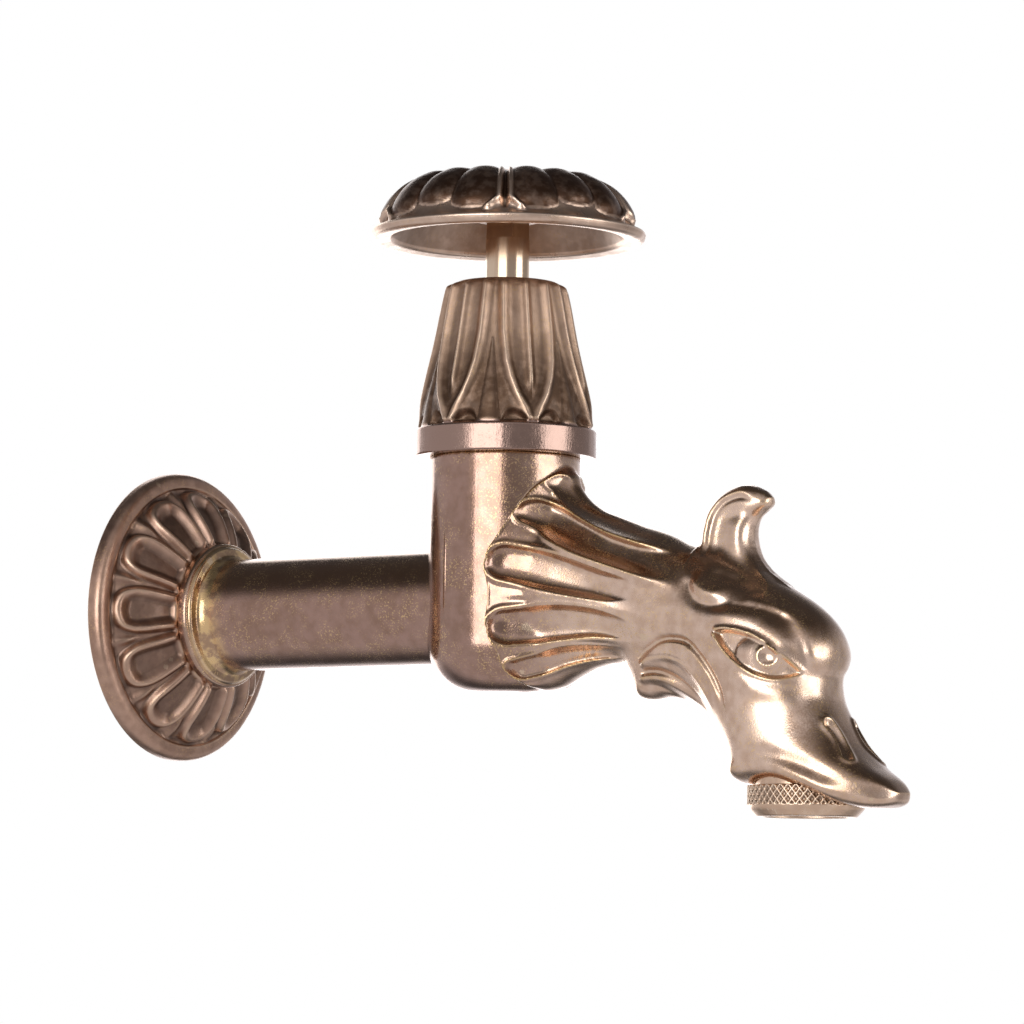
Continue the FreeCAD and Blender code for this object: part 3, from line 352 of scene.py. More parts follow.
# Ridges and creases of the head, each as (points, width, height). A negative height is a crease.
FOLDS = [
    # the brow bulges over the eye and turns down in front of it
    ([(148, -4.2), (152.6, -4.8), (158.4, -5.6), (163, -7.6), (166.2, -10.8), (167.6, -14.6)], 2.2, 0.8),
    ([(160.6, -4.2), (165.2, -6.6), (168.2, -10.4), (169.6, -14.4), (170.0, -18)], 1.3, -0.7),
    ([(162.6, -2.8), (167.2, -5.6), (170.2, -9.8), (171.2, -14.2), (171.2, -18)], 1.3, 0.8),
    ([(153, -2.6), (158, -3.5), (163.4, -4.7), (167.4, -7.2)], 0.8, -0.45),
    ([(155.6, -1.2), (160.2, -2.3), (165, -4.0), (168.8, -6.8)], 0.8, 0.35),
    ([(156.2, 0.4), (161, -1.0), (165.6, -3.0), (169.4, -6.0)], 0.7, -0.35),
    # the ear: a lobe at the foot of the crest, a notch above it and a shallow crease below
    ([(143.9, 5.6), (144.7, 2.9), (146.8, 1.0), (149.8, 0.1), (153.2, 0.0)], 1.7, 1.2),
    ([(141.8, 4.4), (142.6, 1.0), (145.4, -1.7), (150.0, -2.7), (155.4, -2.3)], 1.2, -0.6),
    ([(147.4, 5.8), (149.2, 4.0), (152.6, 2.7), (157.0, 1.5), (161.6, -0.4)], 1.2, -0.7),
    ([(151, 6.2), (154.6, 4.3), (158.8, 2.1), (163, -0.1)], 0.9, 0.35),
    # the bag under the eye, its shallow crease, and the small fold where it meets the snout
    ([(153.4, -14.6), (156.6, -17.6), (161, -20.1), (166, -20.9), (170.6, -19.6)], 2.2, 0.7),
    ([(170.0, -18.8), (171.4, -20.8), (173.0, -23.4)], 0.9, 0.5),
    # the lip flares out below a soft hollow
    ([(150.6, -34.6), (154, -34.5), (158, -34.1), (162.4, -33.6), (166.8, -34.6), (171.4, -36.4),
      (176, -38.4), (181, -40.4)], 1.7, -0.6),
    ([(151.4, -37.4), (157, -37.2), (163, -37), (168.4, -38.4), (174, -40.4), (180, -42.4)], 1.6, 0.35),
    # gill arcs that fan out from the beard's edge
    ([(127.6, -13.8), (129.4, -12.1), (131.9, -10.8), (135.4, -9.4), (139.1, -9.2), (142.9, -10.1),
      (146.1, -12.8), (148.9, -16.2), (151.2, -20.3), (153, -26)], 0.75, -1.1),
    ([(128.4, -14.4), (131.4, -13.4), (134.4, -13), (137.6, -13.2), (141.2, -14.6), (144.3, -17.4),
      (147.2, -21.4), (149, -25)], 0.8, 0.8),
    ([(127.8, -16.1), (130.9, -15.6), (134.5, -16), (138.2, -17.6), (141.4, -20), (144.6, -23.6),
      (147, -27.4)], 0.75, -1.1),
    ([(127.4, -17.3), (130.8, -17.1), (134.3, -17.7), (137.6, -19.5), (140.6, -21.8), (143.4, -25)],
     0.7, 0.7),
    ([(126.8, -18.9), (130.8, -18.6), (134.2, -19.6), (137.2, -21.4), (140.2, -23.6)], 0.7, -0.9),
]
NOSTRIL = [(173.5, -27.6), (175.8, -31.0), (178.3, -34.3)]
NOSTRIL_X = (169, 187)
NOSTRIL_Z = (-41, -21)


def head_relief(x, z):
    """Eye, brows, ear, folds, gills and lip."""
    relief = eye_relief(x, z)
    for points, width, height in FOLDS:
        relief += stroke(x, z, points, width, height, 0.06, 0.2)
    return relief


def nostril_relief(x, y, z, half):
    """A small raised capsule with a slot along it, on the corner of the snout."""
    line = catmull_rom(NOSTRIL, 0.25)
    columns = np.round((line[:, 0] - x[0, 0, 0]) / GRID_STEP).astype(int)
    rows = np.round((line[:, 1] - z[0, 0, 0]) / GRID_STEP).astype(int)
    marks = np.arange(len(line))
    depths = np.polyval(np.polyfit(marks, half[columns, rows], 2), marks)
    nearest = np.full(np.broadcast(x, y, z).shape, 99.0)
    for (px, pz), py in zip(line, depths):
        nearest = np.minimum(nearest, np.sqrt((x - px) ** 2 + (np.abs(y) - py) ** 2 + (z - pz) ** 2))
    return 0.4 * bump(nearest - 1.6, 0.6) - 0.65 * bump(nearest, 0.9)


CREST_REAR = [
    (139.4, 2), (140.2, 8.6), (140.5, 11.6), (140.7, 14.2), (141.9, 18.4), (145.2, 21.9), (150.2, 23.5),
    (154.3, 22.4), (156.4, 20.6),
]
CREST_FRONT = [
    (156.4, 20.6), (156.2, 19.1), (154.6, 17.6), (153, 15.9), (152.0, 13.2), (152.7, 9.4),
    (155.2, 5.4), (159, 1.5), (160, -3),
]


def crest_field(x, y, z):
    """The curled crest: soft edges, a thin rim along its back edge and a gently hollow face."""
    rear = catmull_rom(CREST_REAR, 0.5)
    front = catmull_rom(CREST_FRONT, 0.5)
    x2, z2 = x[:, 0, :], z[:, 0, :]
    to_rear, _, _ = line_distance(rear, x2, z2)
    to_front, _, _ = line_distance(front, x2, z2)
    inside = inside_polygon(np.vstack([rear, front[1:], [(150, -8), (141, -5)]]), x2, z2)
    depth = 2.0 * to_rear * to_front / (to_rear + to_front + 1e-6)
    width = 4.6 - 1.1 * smoothstep(8, 22, z2)
    half = width * np.sqrt(np.clip(1.0 - (1.0 - np.clip(depth / 4.0, 0, 1)) ** 2, 0, 1))
    half -= 0.7 * bump(to_rear - 5.2, 2.4) * smoothstep(3, 9, z2) * (1 - smoothstep(16, 20, z2))
    rim = 0.3 * bump(to_rear - 1.6, 0.6) - 0.45 * bump(to_rear - 2.8, 0.6)
    half += rim * (1 - smoothstep(150, 154, x2))
    half = np.where(inside, np.maximum(half, 0.05), -np.minimum(to_rear, to_front))
    slope_x, slope_z = np.gradient(half, GRID_STEP)
    steep = np.sqrt(1.0 + np.minimum(slope_x ** 2 + slope_z ** 2, 30.0))
    return (np.abs(y) - half[:, None, :]) / steep[:, None, :]


def smooth_union(a, b, blend):
    """The union of two distance fields, with a fillet about as large as blend."""
    mix = np.clip(0.5 + 0.5 * (b - a) / blend, 0.0, 1.0)
    return b + (a - b) * mix - blend * mix * (1.0 - mix)


def barrel_half_width(x, z, layer):
    """Half width of the upright barrel under a layer of even thickness; it narrows at the foot."""
    rounding = BARREL_ROUNDING + layer
    drop = np.clip(BARREL_BOTTOM + BARREL_ROUNDING - z, 0.0, rounding)
    radius = BARREL_RADIUS - BARREL_ROUNDING + np.sqrt(rounding ** 2 - drop ** 2)
    return np.sqrt(np.clip(radius ** 2 - (x - VALVE_X) ** 2, 0.0, None))


def blurred(layer, reach):
    """A layer of the grid, softened over about reach millimetres."""
    steps = int(2.5 * reach / GRID_STEP)
    kernel = bump(np.arange(-steps, steps + 1) * GRID_STEP, reach)
    kernel /= kernel.sum()
    for axis in (0, 1):
        layer = np.apply_along_axis(np.convolve, axis, layer, kernel, "same")
    return layer


def spout_section(x, z):
    """At each place of the middle plane: how far it is from the core line (0) to the outline (1),
    the power that sets how square the spout's section is, and its full half width."""
    top = catmull_rom(TOP_LINE)
    bottom = catmull_rom(BOTTOM_LINE)
    to_top, _, _ = line_distance(top, x, z)
    to_bottom, _, _ = line_distance(bottom, x, z)
    inside = inside_polygon(np.vstack([top, bottom[::-1][1:]]), x, z)
    depth = np.minimum(to_top, to_bottom) * np.where(inside, 1.0, -1.0)
    across = np.clip(1.0 - 2.0 * depth / (to_bottom + to_top + 1e-6), 0.0, 3.0)
    across += (blurred(across, 1.6) - across) * smoothstep(2.0, 5.5, depth)
    on_snout = smoothstep(163, 172, x) * smoothstep(-19, -26, z) * (1 - smoothstep(-36, -40, z))
    power = 2.2 + 0.6 * smoothstep(-28, -38, z) + 0.2 * on_snout
    section = np.clip(1.0 - across ** power, 0.0, 1.0) ** (1.0 / power)
    width = weighted_half_width(x, z)
    # seen from below, the lip ends in a half circle
    bill = np.sqrt(np.clip(1.0 - (np.clip(x - 172.0, 0.0, None) / 16.6) ** 2, 0.0, 1.0))
    width *= 1.0 - (1.0 - bill) * smoothstep(-25, -33, z)
    # the shell that carries the flutes stands a little proud of the barrel
    to_edge, _, side = line_distance(catmull_rom(SHELL_EDGE), x, z)
    on_shell = smoothstep(-0.3, 0.9, to_edge * side)
    thickness = SHELL_THICKNESS - 1.3 * smoothstep(13, 23, z)
    proud = barrel_half_width(x, z, thickness) * on_shell
    width = -smooth_union(-width, -proud / np.maximum(section, 0.3), 3.0)
    beyond = (1.0 - on_shell) * (1.0 - smoothstep(101, 106, x))
    border = 0.3 * bump(to_edge * side - 0.7, 0.5) * (1 - smoothstep(101, 108, x))
    flutes = flute_relief(x, z) / np.maximum(section, 0.4)
    width += (flutes + head_relief(x, z) + border) * on_shell - 3.0 * beyond
    return across, power, np.maximum(width, 0.05)


def barrel_field(x, y, z):
    """The valve's upright barrel with its rounded foot."""
    rounding = BARREL_ROUNDING
    radial = np.hypot(x - VALVE_X, y)
    dr = radial - (BARREL_RADIUS - rounding)
    dz = (BARREL_BOTTOM + rounding) - z
    corner = np.hypot(np.maximum(dr, 0), np.maximum(dz, 0)) + np.minimum(np.maximum(dr, dz), 0) - rounding
    return np.maximum(corner, z - BARREL_TOP)


def hollow(field, x, y, z, centre_x, radius, low, high):
    """Cut an upright round hollow out of a field."""
    radial = np.hypot(x - centre_x, y) - radius
    return np.maximum(field, -np.maximum(np.maximum(radial, low - z), z - high))


def grid_slice(low, high, start):
    """The grid's steps from low to high, on an axis where the grid begins at start."""
    return slice(int((low - start) / GRID_STEP), int((high - start) / GRID_STEP))


def spout_field():
    """The whole spout and barrel as a distance-like field over one half of the tap. It starts two
    steps on the other side of the middle plane, half a step off it."""
    xs = np.arange(GRID_X[0], GRID_X[1], GRID_STEP)
    ys = np.arange(-1.5 * GRID_STEP, HALF_DEPTH, GRID_STEP)
    zs = np.arange(GRID_Z[0], GRID_Z[1], GRID_STEP)
    x2, z2 = np.meshgrid(xs, zs, indexing="ij")
    across, power, width = (layer[:, None, :] for layer in spout_section(x2, z2))
    x, y, z = np.meshgrid(xs, ys, zs, indexing="ij")
    level = (np.minimum(np.abs(y) / width, 9.0) ** power + across ** power) ** (1.0 / power)
    slopes = np.gradient(level, GRID_STEP)
    steep = np.sqrt(sum(slope ** 2 for slope in slopes)) + 0.02
    field = np.clip((level - 1.0) / steep, -6.0, 6.0)
    half = (width * np.clip(1.0 - across ** power, 0.0, 1.0) ** (1.0 / power))[:, 0, :]
    columns = grid_slice(*NOSTRIL_X, GRID_X[0])
    rows = grid_slice(*NOSTRIL_Z, GRID_Z[0])
    block = (columns, slice(None), rows)
    field[block] -= nostril_relief(x[block], y[block], z[block], half[columns, rows])
    field = smooth_union(field, crest_field(x, y, z), 1.8)
    field = smooth_union(field, barrel_field(x, y, z), 1.0)
    # the recess and socket that hold the aerator ring, and the room for the headwork
    below, above = GRID_Z[0] - 10.0, GRID_Z[1] + 10.0
    field = hollow(field, x, y, z, OUTLET_X, KNURL_RADIUS + 0.3, below, KNURL_TOP + 0.1)
    field = hollow(field, x, y, z, OUTLET_X, KNURL_RADIUS - 1.6, below, SOCKET_TOP)
    field = hollow(field, x, y, z, VALVE_X, HEADWORK_ROOM_RADIUS, HEADWORK_ROOM_FLOOR, above)
    return xs, ys, zs, field


def smoothed(points, quads, rounds):
    """Even out the grid's small steps: each round shrinks a little, then swells back."""
    count = len(points)
    starts = quads.reshape(-1)
    ends = np.roll(quads, -1, axis=1).reshape(-1)
    neighbours = np.bincount(starts, minlength=count) + np.bincount(ends, minlength=count)
    for factor in (0.5, -0.52) * rounds:
        mean = np.zeros_like(points)
        for axis in range(3):
            mean[:, axis] = np.bincount(starts, points[ends, axis], count)
            mean[:, axis] += np.bincount(ends, points[starts, axis], count)
        points = points + factor * (mean / neighbours[:, None] - points)
    return points


def thinned(piece, most):
    """Bring a piece's mesh down to about most triangles."""
    triangles = sum(len(polygon.vertices) - 2 for polygon in piece.data.polygons)
    if triangles <= most:
        return
    modifier = piece.modifiers.new("thin", "DECIMATE")
    modifier.ratio = most / triangles
    graph = bpy.context.evaluated_depsgraph_get()
    mesh = bpy.data.meshes.new_from_object(piece.evaluated_get(graph))
    piece.modifiers.remove(modifier)
    mesh.polygons.foreach_set("use_smooth", [True] * len(mesh.polygons))
    piece.data = mesh


def make_spout():
    xs, ys, zs, field = spout_field()
    both_halves = np.concatenate([field[:, :1:-1, :], field[:, 2:, :]], axis=1)
    most_y = (len(ys) - 2.5) * GRID_STEP
    grid = openvdb.FloatGrid(3.0)
    grid.copyFromArray(np.ascontiguousarray(np.clip(both_halves, -3.0, 3.0).astype(np.float32)))
    points, quads = grid.convertToQuads(isovalue=0.0)
    points = smoothed(points.astype(float), quads.astype(int), 3)
    points = np.array([xs[0], -most_y, zs[0]]) + points * GRID_STEP
    spout = make_object("beast_spout", points, quads[:, ::-1], "cast_bronze", "tap_body", ["cast_body"])
    thinned(spout, MOST_TRIANGLES)


# ---------------- inlet pipe
THREAD_PITCH = 1.814


def thread_relief(radius, height, angle):
    """A G 1/2 thread on the end behind the wall: a helix of V grooves."""
    wave = np.abs((height / THREAD_PITCH - angle / 360.0) % 1.0 - 0.5) * 2.0
    on_thread = smoothstep(-14.6, -13.8, height) * smoothstep(-1.0, -1.8, height) * (radius > 10.2)
    # the thread gets no painted shade
    no_painted_shade = np.zeros(radius.shape)
    return -1.0 * on_thread * smoothstep(0.15, 0.85, wave), no_painted_shade


def make_inlet_pipe():
    collar = ROSETTE_DEPTH
    corners = [
        (PIPE_BORE, THREAD_START, 0.3), (NECK_RADIUS, THREAD_START, 0.3),
        (THREAD_RADIUS, THREAD_START + 0.8, 0.2), (THREAD_RADIUS, -0.9, 0.2), (NECK_RADIUS, 0, 0.2),
        (NECK_RADIUS, collar, 0), (16.2, collar, 0.7), (16.2, collar + 2.3, 0.8), (15.4, collar + 2.5, 0.2),
        (15.2, collar + 3.1, 0.4), (PIPE_RADIUS, collar + 3.7, 2.6), (PIPE_RADIUS, PIPE_END, 0),
        (PIPE_BORE, PIPE_END, 0),
    ]
    make_turned("threaded_pipe", "cast_bronze", "tap_body", ["inlet_pipe"], corners, 0.3, 180,
                thread_relief)


# ---------------- wall rosette
PETALS = 12
PETAL_OUTLINE = [
    (13.5, 2.7), (16.5, 3.0), (20, 3.55), (23.2, 4.1), (25.4, 4.1), (27, 3.0), (27.6, 0),
    (27, -3.0), (25.4, -4.1), (23.2, -4.1), (20, -3.55), (16.5, -3.0), (13.5, -2.7),
]


def rosette_relief(radius, height, angle):
    """Sunk petals with beaded outlines, and a small dart between each two."""
    step = 360.0 / PETALS
    from_petal = (angle + step / 2) % step - step / 2
    tangent = np.radians(from_petal) * radius
    front = height > 2.6
    outline = catmull_rom(PETAL_OUTLINE, 0.4)
    distance, _, _ = line_distance(outline, radius, tangent)
    inside = inside_polygon(outline, radius, tangent)
    relief = 0.6 * bump(distance, 0.75)
    outside_drop = 0.9 * smoothstep(0.4, 1.5, distance)
    relief -= np.where(inside, 1.15 * smoothstep(0.4, 2.2, distance), outside_drop)
    half_step = np.radians(step / 2) * radius
    to_dart = half_step - np.abs(tangent)
    relief += 0.9 * bump(to_dart, 0.4 + 0.22 * np.clip(radius - 24, 0, 4)) * smoothstep(23.5, 27, radius)
    on_dome = smoothstep(29.1, 28.3, radius) * smoothstep(15.9, 17.2, radius)
    rim_groove = -0.3 * bump(radius - 28.9, 0.35)
    # painted shade: the sunk petals and the ground outside their beads are painted darker
    painted_shade = np.where(inside, 0.65 * smoothstep(0.3, 1.6, distance), 0.4 * smoothstep(0.5, 1.4, distance))
    return np.where(front, relief * on_dome + rim_groove, 0.0), np.where(front, painted_shade * on_dome, 0.0)


def make_rosette():
    rim, depth = ROSETTE_RADIUS, ROSETTE_DEPTH
    corners = [
        (rim - 1.8, 0, 0), (rim, 0, 0.3), (rim, 2.6, 1.2), (rim - 1.2, 3.6, 1.0), (29.2, 3.9, 0.6),
        (28.6, 3.7, 0.3), (26.5, 6.0, 1.6), (23, 8.9, 2), (19, 11.2, 2), (16, 12.4, 0.5),
        (10.9, depth, 0.2), (10.9, depth - 3.6, 0), (15, depth - 3.6, 2), (25, 4.2, 2), (rim - 3, 1.0, 0.6),
    ]
    make_turned("wall_flange", "dark_bronze", "tap_body", ["wall_rosette"], corners, 0.36, 600,
                rosette_relief)


# ---------------- bonnet
BONNET_UNITS = 6
BONNET_FIRST = -68.0
RIDGE_HEIGHTS = [39.0, 41.6, 44.4, 48.0, 51.6, 58.0, 69.0]
RIDGE_ANGLES = [27.8, 24.6, 19.6, 15.2, 12.2, 9.6, 8.4]


def bonnet_relief(radius, height, angle):
    """Six leaves: two ridges that part towards the foot, a small leaf between them, and a rib
    where two neighbours meet."""
    step = 360.0 / BONNET_UNITS
    from_middle = np.abs((angle - BONNET_FIRST + step / 2) % step - step / 2)
    per_degree = np.radians(1.0) * radius
    ridge = np.interp(height, RIDGE_HEIGHTS, RIDGE_ANGLES)
    to_ridge = (from_middle - ridge) * per_degree
    width = 1.05 + 0.35 * smoothstep(46, 40, height)
    relief = 1.1 * bump(to_ridge, width)
    to_rib = (step / 2 - from_middle) * per_degree
    rib_fade = smoothstep(43.5, 48.5, height)
    relief += 0.85 * bump(to_rib, 0.75) * rib_fade
    # the channel between the ridges, and the hollow panels outside them
    relief -= 0.4 * bump((from_middle - 0.5 * (ridge + step / 2)) * per_degree, 1.9)
    relief -= 0.4 * np.clip(1.0 - (from_middle / ridge) ** 2, 0, 1)
    # the small leaf
    across = from_middle * per_degree
    leaf_half = np.clip((57.5 - height) * 0.125, 0.0, 2.3)
    leaf = np.clip(1.0 - (across / np.maximum(leaf_half, 0.05)) ** 2, 0.0, 1.0)
    relief += np.where(leaf_half > 0.05, (0.25 + 0.16 * leaf_half) * np.sqrt(leaf), 0.0)
    # dark arches under the leaves at the foot
    arch_middle = 0.5 * (ridge + leaf_half / per_degree)
    arch_half = np.maximum(0.5 * (ridge - leaf_half / per_degree) - 1.6, 0.5)
    arch = np.clip(1.0 - ((from_middle - arch_middle) / arch_half) ** 2, 0.0, 1.0)
    arch_top = 38.9 + 2.6 * np.sqrt(arch)
    relief -= 1.3 * smoothstep(0.0, 1.6, arch_top - height) * (arch > 0)
    on_cone = smoothstep(38.2, 39.0, height) * smoothstep(70.3, 68.6, height) * (radius > 11.6)
    # painted shade: the ground between the ridges, darker towards the foot, and the arches at the foot are
    # painted dark
    ground = 1.0 - smoothstep(0.1, 0.95, relief)
    painted_shade = ground * (0.4 + 0.6 * smoothstep(62, 46, height))
    painted_shade = np.maximum(painted_shade, smoothstep(-0.2, 0.6, arch_top - height) * (arch > 0))
    return relief * on_cone, painted_shade * on_cone


def make_bonnet():
    low, high = BONNET_LOW[2], BONNET_HIGH[2]
    flange = FLANGE_RADIUS
    corners = [
        (15.05, low, 0), (flange, low, 0.35), (flange, low + 6, 0.4), (18.8, low + 6, 0.1),
        (18.3, 40.2, 0.6), (17.9, 43.5, 1.5), (15.1, 55.8, 3), (13.2, 66, 1.5), (12.5, 69.0, 0.9),
        (11.2, high, 0.8), (5.2, high, 0.2), (5.2, high - 2, 0), (8.8, high - 2.4, 0),
        (11, 56, 1), (13, 44, 1), (15.05, 38, 0.5),
    ]
    make_turned("fluted_bonnet", "bonnet_bronze", "tap_body", ["bonnet"], corners, 0.3, 480,
                bonnet_relief, VALVE_X)


# ---------------- handwheel
WHEEL_UNITS = 5
WHEEL_FIRST = -58.0
LOBES = [(14.8, 82.9), (36.0, 84.4), (57.2, 82.9)]


def wheel_relief(radius, height, angle):
    """Five fleur grooves with twin ridges, and three bulging lobes between each two."""
    step = 360.0 / WHEEL_UNITS
    from_groove = (angle - WHEEL_FIRST) % step
    near = np.minimum(from_groove, step - from_groove)
    per_degree = np.radians(1.0) * radius
    relief = np.zeros(radius.shape)
    for middle, foot in LOBES:
        side = (from_groove - middle) / 10.7
        round_side = np.clip(1.0 - side ** 2, 0.0, 1.0) ** 0.6
        rise = np.clip((height - foot - 1.4 * (1.0 - round_side)) / 3.0, 0.0, 1.0)
        start = np.sqrt(1.0 - (1.0 - rise) ** 2)
        relief = np.maximum(relief, (0.3 + 1.25 * round_side) * start * (round_side > 0))
    spread = 2.6 + 5.0 * smoothstep(85.5, 82.5, height)
    ridge = 1.35 * bump((near - spread) * per_degree, 0.85)
    lobes = smoothstep(0.0, 0.5, relief)
    relief = np.maximum(relief, ridge)
    relief -= 0.8 * bump(near * per_degree, 0.6) * smoothstep(82.6, 84, height)
    scroll = np.hypot((near - 4.2) * per_degree, height - 84.2)
    relief += 0.3 * bump(scroll, 0.9)
    on_dome = smoothstep(82.2, 82.9, height) * smoothstep(12.5, 19.5, radius)
    outside = radius > 25.2 - 1.4 * (height - 86.0) * (height > 86)
    bead = 0.25 * bump(height - 81.2, 0.4) * (radius > 29)
    # painted shade: the lobes and the top of the dome are painted dark, the fleur ridges less so, and the
    # inner faces of the wheel half dark
    dark_dome = np.maximum(lobes, smoothstep(84.6, 86.2, height)) - 0.6 * smoothstep(0.5, 1.2, ridge)
    painted_shade = np.where(outside, np.clip(dark_dome, 0.0, 1.0), 0.5 * (height > 80.4))
    return relief * on_dome * outside + bead, painted_shade


def make_handwheel():
    low = WHEEL_LOW[2]
    rim = WHEEL_RADIUS
    corners = [
        (25.6, low + 0.5, 0.5), (28.9, low, 0.5), (rim, low + 0.7, 0.5), (rim, low + 2.1, 0.5),
        (28.8, low + 2.2, 0.4), (27.2, 83.0, 1.0), (26.1, 85.6, 1.2), (24.6, 88.0, 1.2), (22.4, 90.2, 1.4),
        (18.6, 92.1, 2), (12.5, 93.8, 2), (5.2, 94.4, 0.3), (5.2, 90.9, 0), (2.6, 90.9, 0), (2.6, 84, 0),
        (7, 84, 0.6), (7, 90.2, 1), (18.5, 89.6, 2), (21.8, 87, 1.5), (23.6, 83.5, 1.5),
    ]
    make_turned("lobed_handwheel", "wheel_bronze", "spindle_and_wheel", ["handwheel"], corners, 0.34, 600,
                wheel_relief, VALVE_X)


# ---------------- aerator ring
KNURLS = 46
KNURL_RISE = 2.1


def knurl_relief(radius, height, angle):
    """A raised diamond net round the ring."""
    turn = angle * KNURLS / 360.0
    climb = (height - KNURL_BOTTOM) / KNURL_RISE
    net = np.zeros(radius.shape)
    for way in (1, -1):
        wave = np.abs((turn + way * climb) % 1.0 - 0.5) * 2.0
        net = np.maximum(net, smoothstep(0.35, 0.95, wave))
    on_band = smoothstep(KNURL_BOTTOM, -43.8, height) * smoothstep(-39.75, KNURL_TOP, height) * (radius > 12)
    # the second value is painted shade, darker in the grooves of the net
    return 0.42 * (net - 1.0) * on_band, 0.6 * (1.0 - net) * on_band


def make_aerator_ring():
    low, high, shoulder = RING_LOW[2], KNURL_TOP, SOCKET_TOP - 1.6
    corners = [
        (9, low, 0.2), (10.5, low, 0.5), (12.0, low + 1.6, 0.6), (KNURL_RADIUS, KNURL_BOTTOM, 0.2),
        (KNURL_RADIUS, high, 0.15), (10.6, high, 0), (10.6, shoulder, 0), (10.2, shoulder, 0),
        (10.2, low + 1.2, 0), (9, low + 1.2, 0),
    ]
    make_turned("knurled_ring", "pale_brass", "tap_body", ["aerator_ring"], corners, 0.15, 810,
                knurl_relief, OUTLET_X)


# ---------------- materials
class Nodes:
    """A short way to write the node tree of a material or of the world."""

    def __init__(self, owner, shader, place):
        owner.use_nodes = True
        self.owner = owner
        self.tree = owner.node_tree
        self.shader = self.tree.nodes[shader]
        self.texture_place = self.add("ShaderNodeTexCoord")
        self.place = self.texture_place.outputs[place]

    def add(self, kind, **properties):
        node = self.tree.nodes.new(kind)
        for key, value in properties.items():
            setattr(node, key, value)
        return node

    def link(self, output, target):
        self.tree.links.new(output, target)

    def split(self, vector):
        """The X, Y and Z parts of a vector."""
        node = self.add("ShaderNodeSeparateXYZ")
        self.link(vector, node.inputs["Vector"])
        return node.outputs

    def toward(self, bearing):
        """How well a direction agrees with a level bearing in radians, from -1 to 1."""
        node = self.add("ShaderNodeVectorMath", operation="DOT_PRODUCT")
        node.inputs[1].default_value = (math.cos(bearing), math.sin(bearing), 0.0)
        self.link(self.place, node.inputs[0])
        return node.outputs["Value"]

    def noise(self, scale, detail=3.0, stretch=None):
        """Noise between 0 and 1; scale is in features per metre."""
        node = self.add("ShaderNodeTexNoise")
        node.inputs["Scale"].default_value = scale
        node.inputs["Detail"].default_value = detail
        place = self.place
        if stretch:
            mapping = self.add("ShaderNodeMapping")
            mapping.inputs["Scale"].default_value = stretch
            self.link(place, mapping.inputs["Vector"])
            place = mapping.outputs["Vector"]
        self.link(place, node.inputs["Vector"])
        return node.outputs["Fac"]

    def remap(self, value, low, high, to_low=0.0, to_high=1.0):
        node = self.add("ShaderNodeMapRange", interpolation_type="SMOOTHSTEP")
        self.link(value, node.inputs["Value"])
        for key, number in (("From Min", low), ("From Max", high), ("To Min", to_low), ("To Max", to_high)):
            node.inputs[key].default_value = number
        return node.outputs["Result"]

    def mix(self, factor, first, second):
        node = self.add("ShaderNodeMix", data_type="RGBA")
        self.link(factor, node.inputs["Factor"])
        for key, color in (("A", first), ("B", second)):
            socket = next(s for s in node.inputs if s.name == key and s.type == "RGBA")
            if isinstance(color, tuple):
                socket.default_value = (*color, 1.0)
            else:
                self.link(color, socket)
        return next(s for s in node.outputs if s.type == "RGBA")

    def combine(self, operation, first, second):
        node = self.add("ShaderNodeMath", operation=operation)
        for index, value in enumerate((first, second)):
            if isinstance(value, (int, float)):
                node.inputs[index].default_value = value
            else:
                self.link(value, node.inputs[index])
        return node.outputs["Value"]

    def plus(self, first, second):
        return self.combine("ADD", first, second)

    def times(self, first, second):
        return self.combine("MULTIPLY", first, second)

    def bump(self, height, strength, distance):
        node = self.add("ShaderNodeBump")
        node.inputs["Strength"].default_value = strength
        node.inputs["Distance"].default_value = distance
        self.link(height, node.inputs["Height"])
        self.link(node.outputs["Normal"], self.shader.inputs["Normal"])

    def paint(self, color, rough, metallic):
        self.link(color, self.shader.inputs["Base Color"])
        self.link(rough, self.shader.inputs["Roughness"])
        self.shader.inputs["Metallic"].default_value = metallic


GOLD = (0.92, 0.64, 0.30)
# the cast, bonnet and wheel metals give the tone that colours their painted shade
ANTIQUE_METALS = {
    "cast_bronze": dict(
        light=(0.44, 0.27, 0.21), dark=(0.33, 0.19, 0.13), roughness=0.15, flecks=0.6, coat=0.6,
        edge=(0.86, 0.66, 0.46), hollow_tone=(0.80, 0.54, 0.22), painted_shade_tone=(0.29, 0.155, 0.075),
        golden=((0.92, 0.69, 0.54), (0.70, 0.48, 0.34), 0.26),
    ),
    "dark_bronze": dict(
        light=(0.58, 0.38, 0.28), dark=(0.42, 0.26, 0.19), roughness=0.34, flecks=0.3, coat=0.15,
        edge=(0.76, 0.56, 0.40),
    ),
    "bonnet_bronze": dict(
        light=(0.74, 0.52, 0.38), dark=(0.54, 0.37, 0.26), roughness=0.36, flecks=0.4, coat=0.15,
        edge=(0.82, 0.64, 0.48), painted_shade_tone=(0.13, 0.075, 0.045), brushed=(1, 1, 0.12),
        polished=(0.0384, (0.40, 0.27, 0.22), 0.19),
    ),
    "wheel_bronze": dict(
        light=(0.80, 0.60, 0.47), dark=(0.64, 0.46, 0.35), roughness=0.30, flecks=0.3, coat=0.15,
        edge=(0.84, 0.66, 0.52), painted_shade_tone=(0.09, 0.045, 0.025),
    ),
    "pale_brass": dict(
        light=(0.90, 0.68, 0.50), dark=(0.74, 0.52, 0.37), roughness=0.28, flecks=0.3, coat=0.2,
        edge=(0.95, 0.78, 0.60),
    ),
}
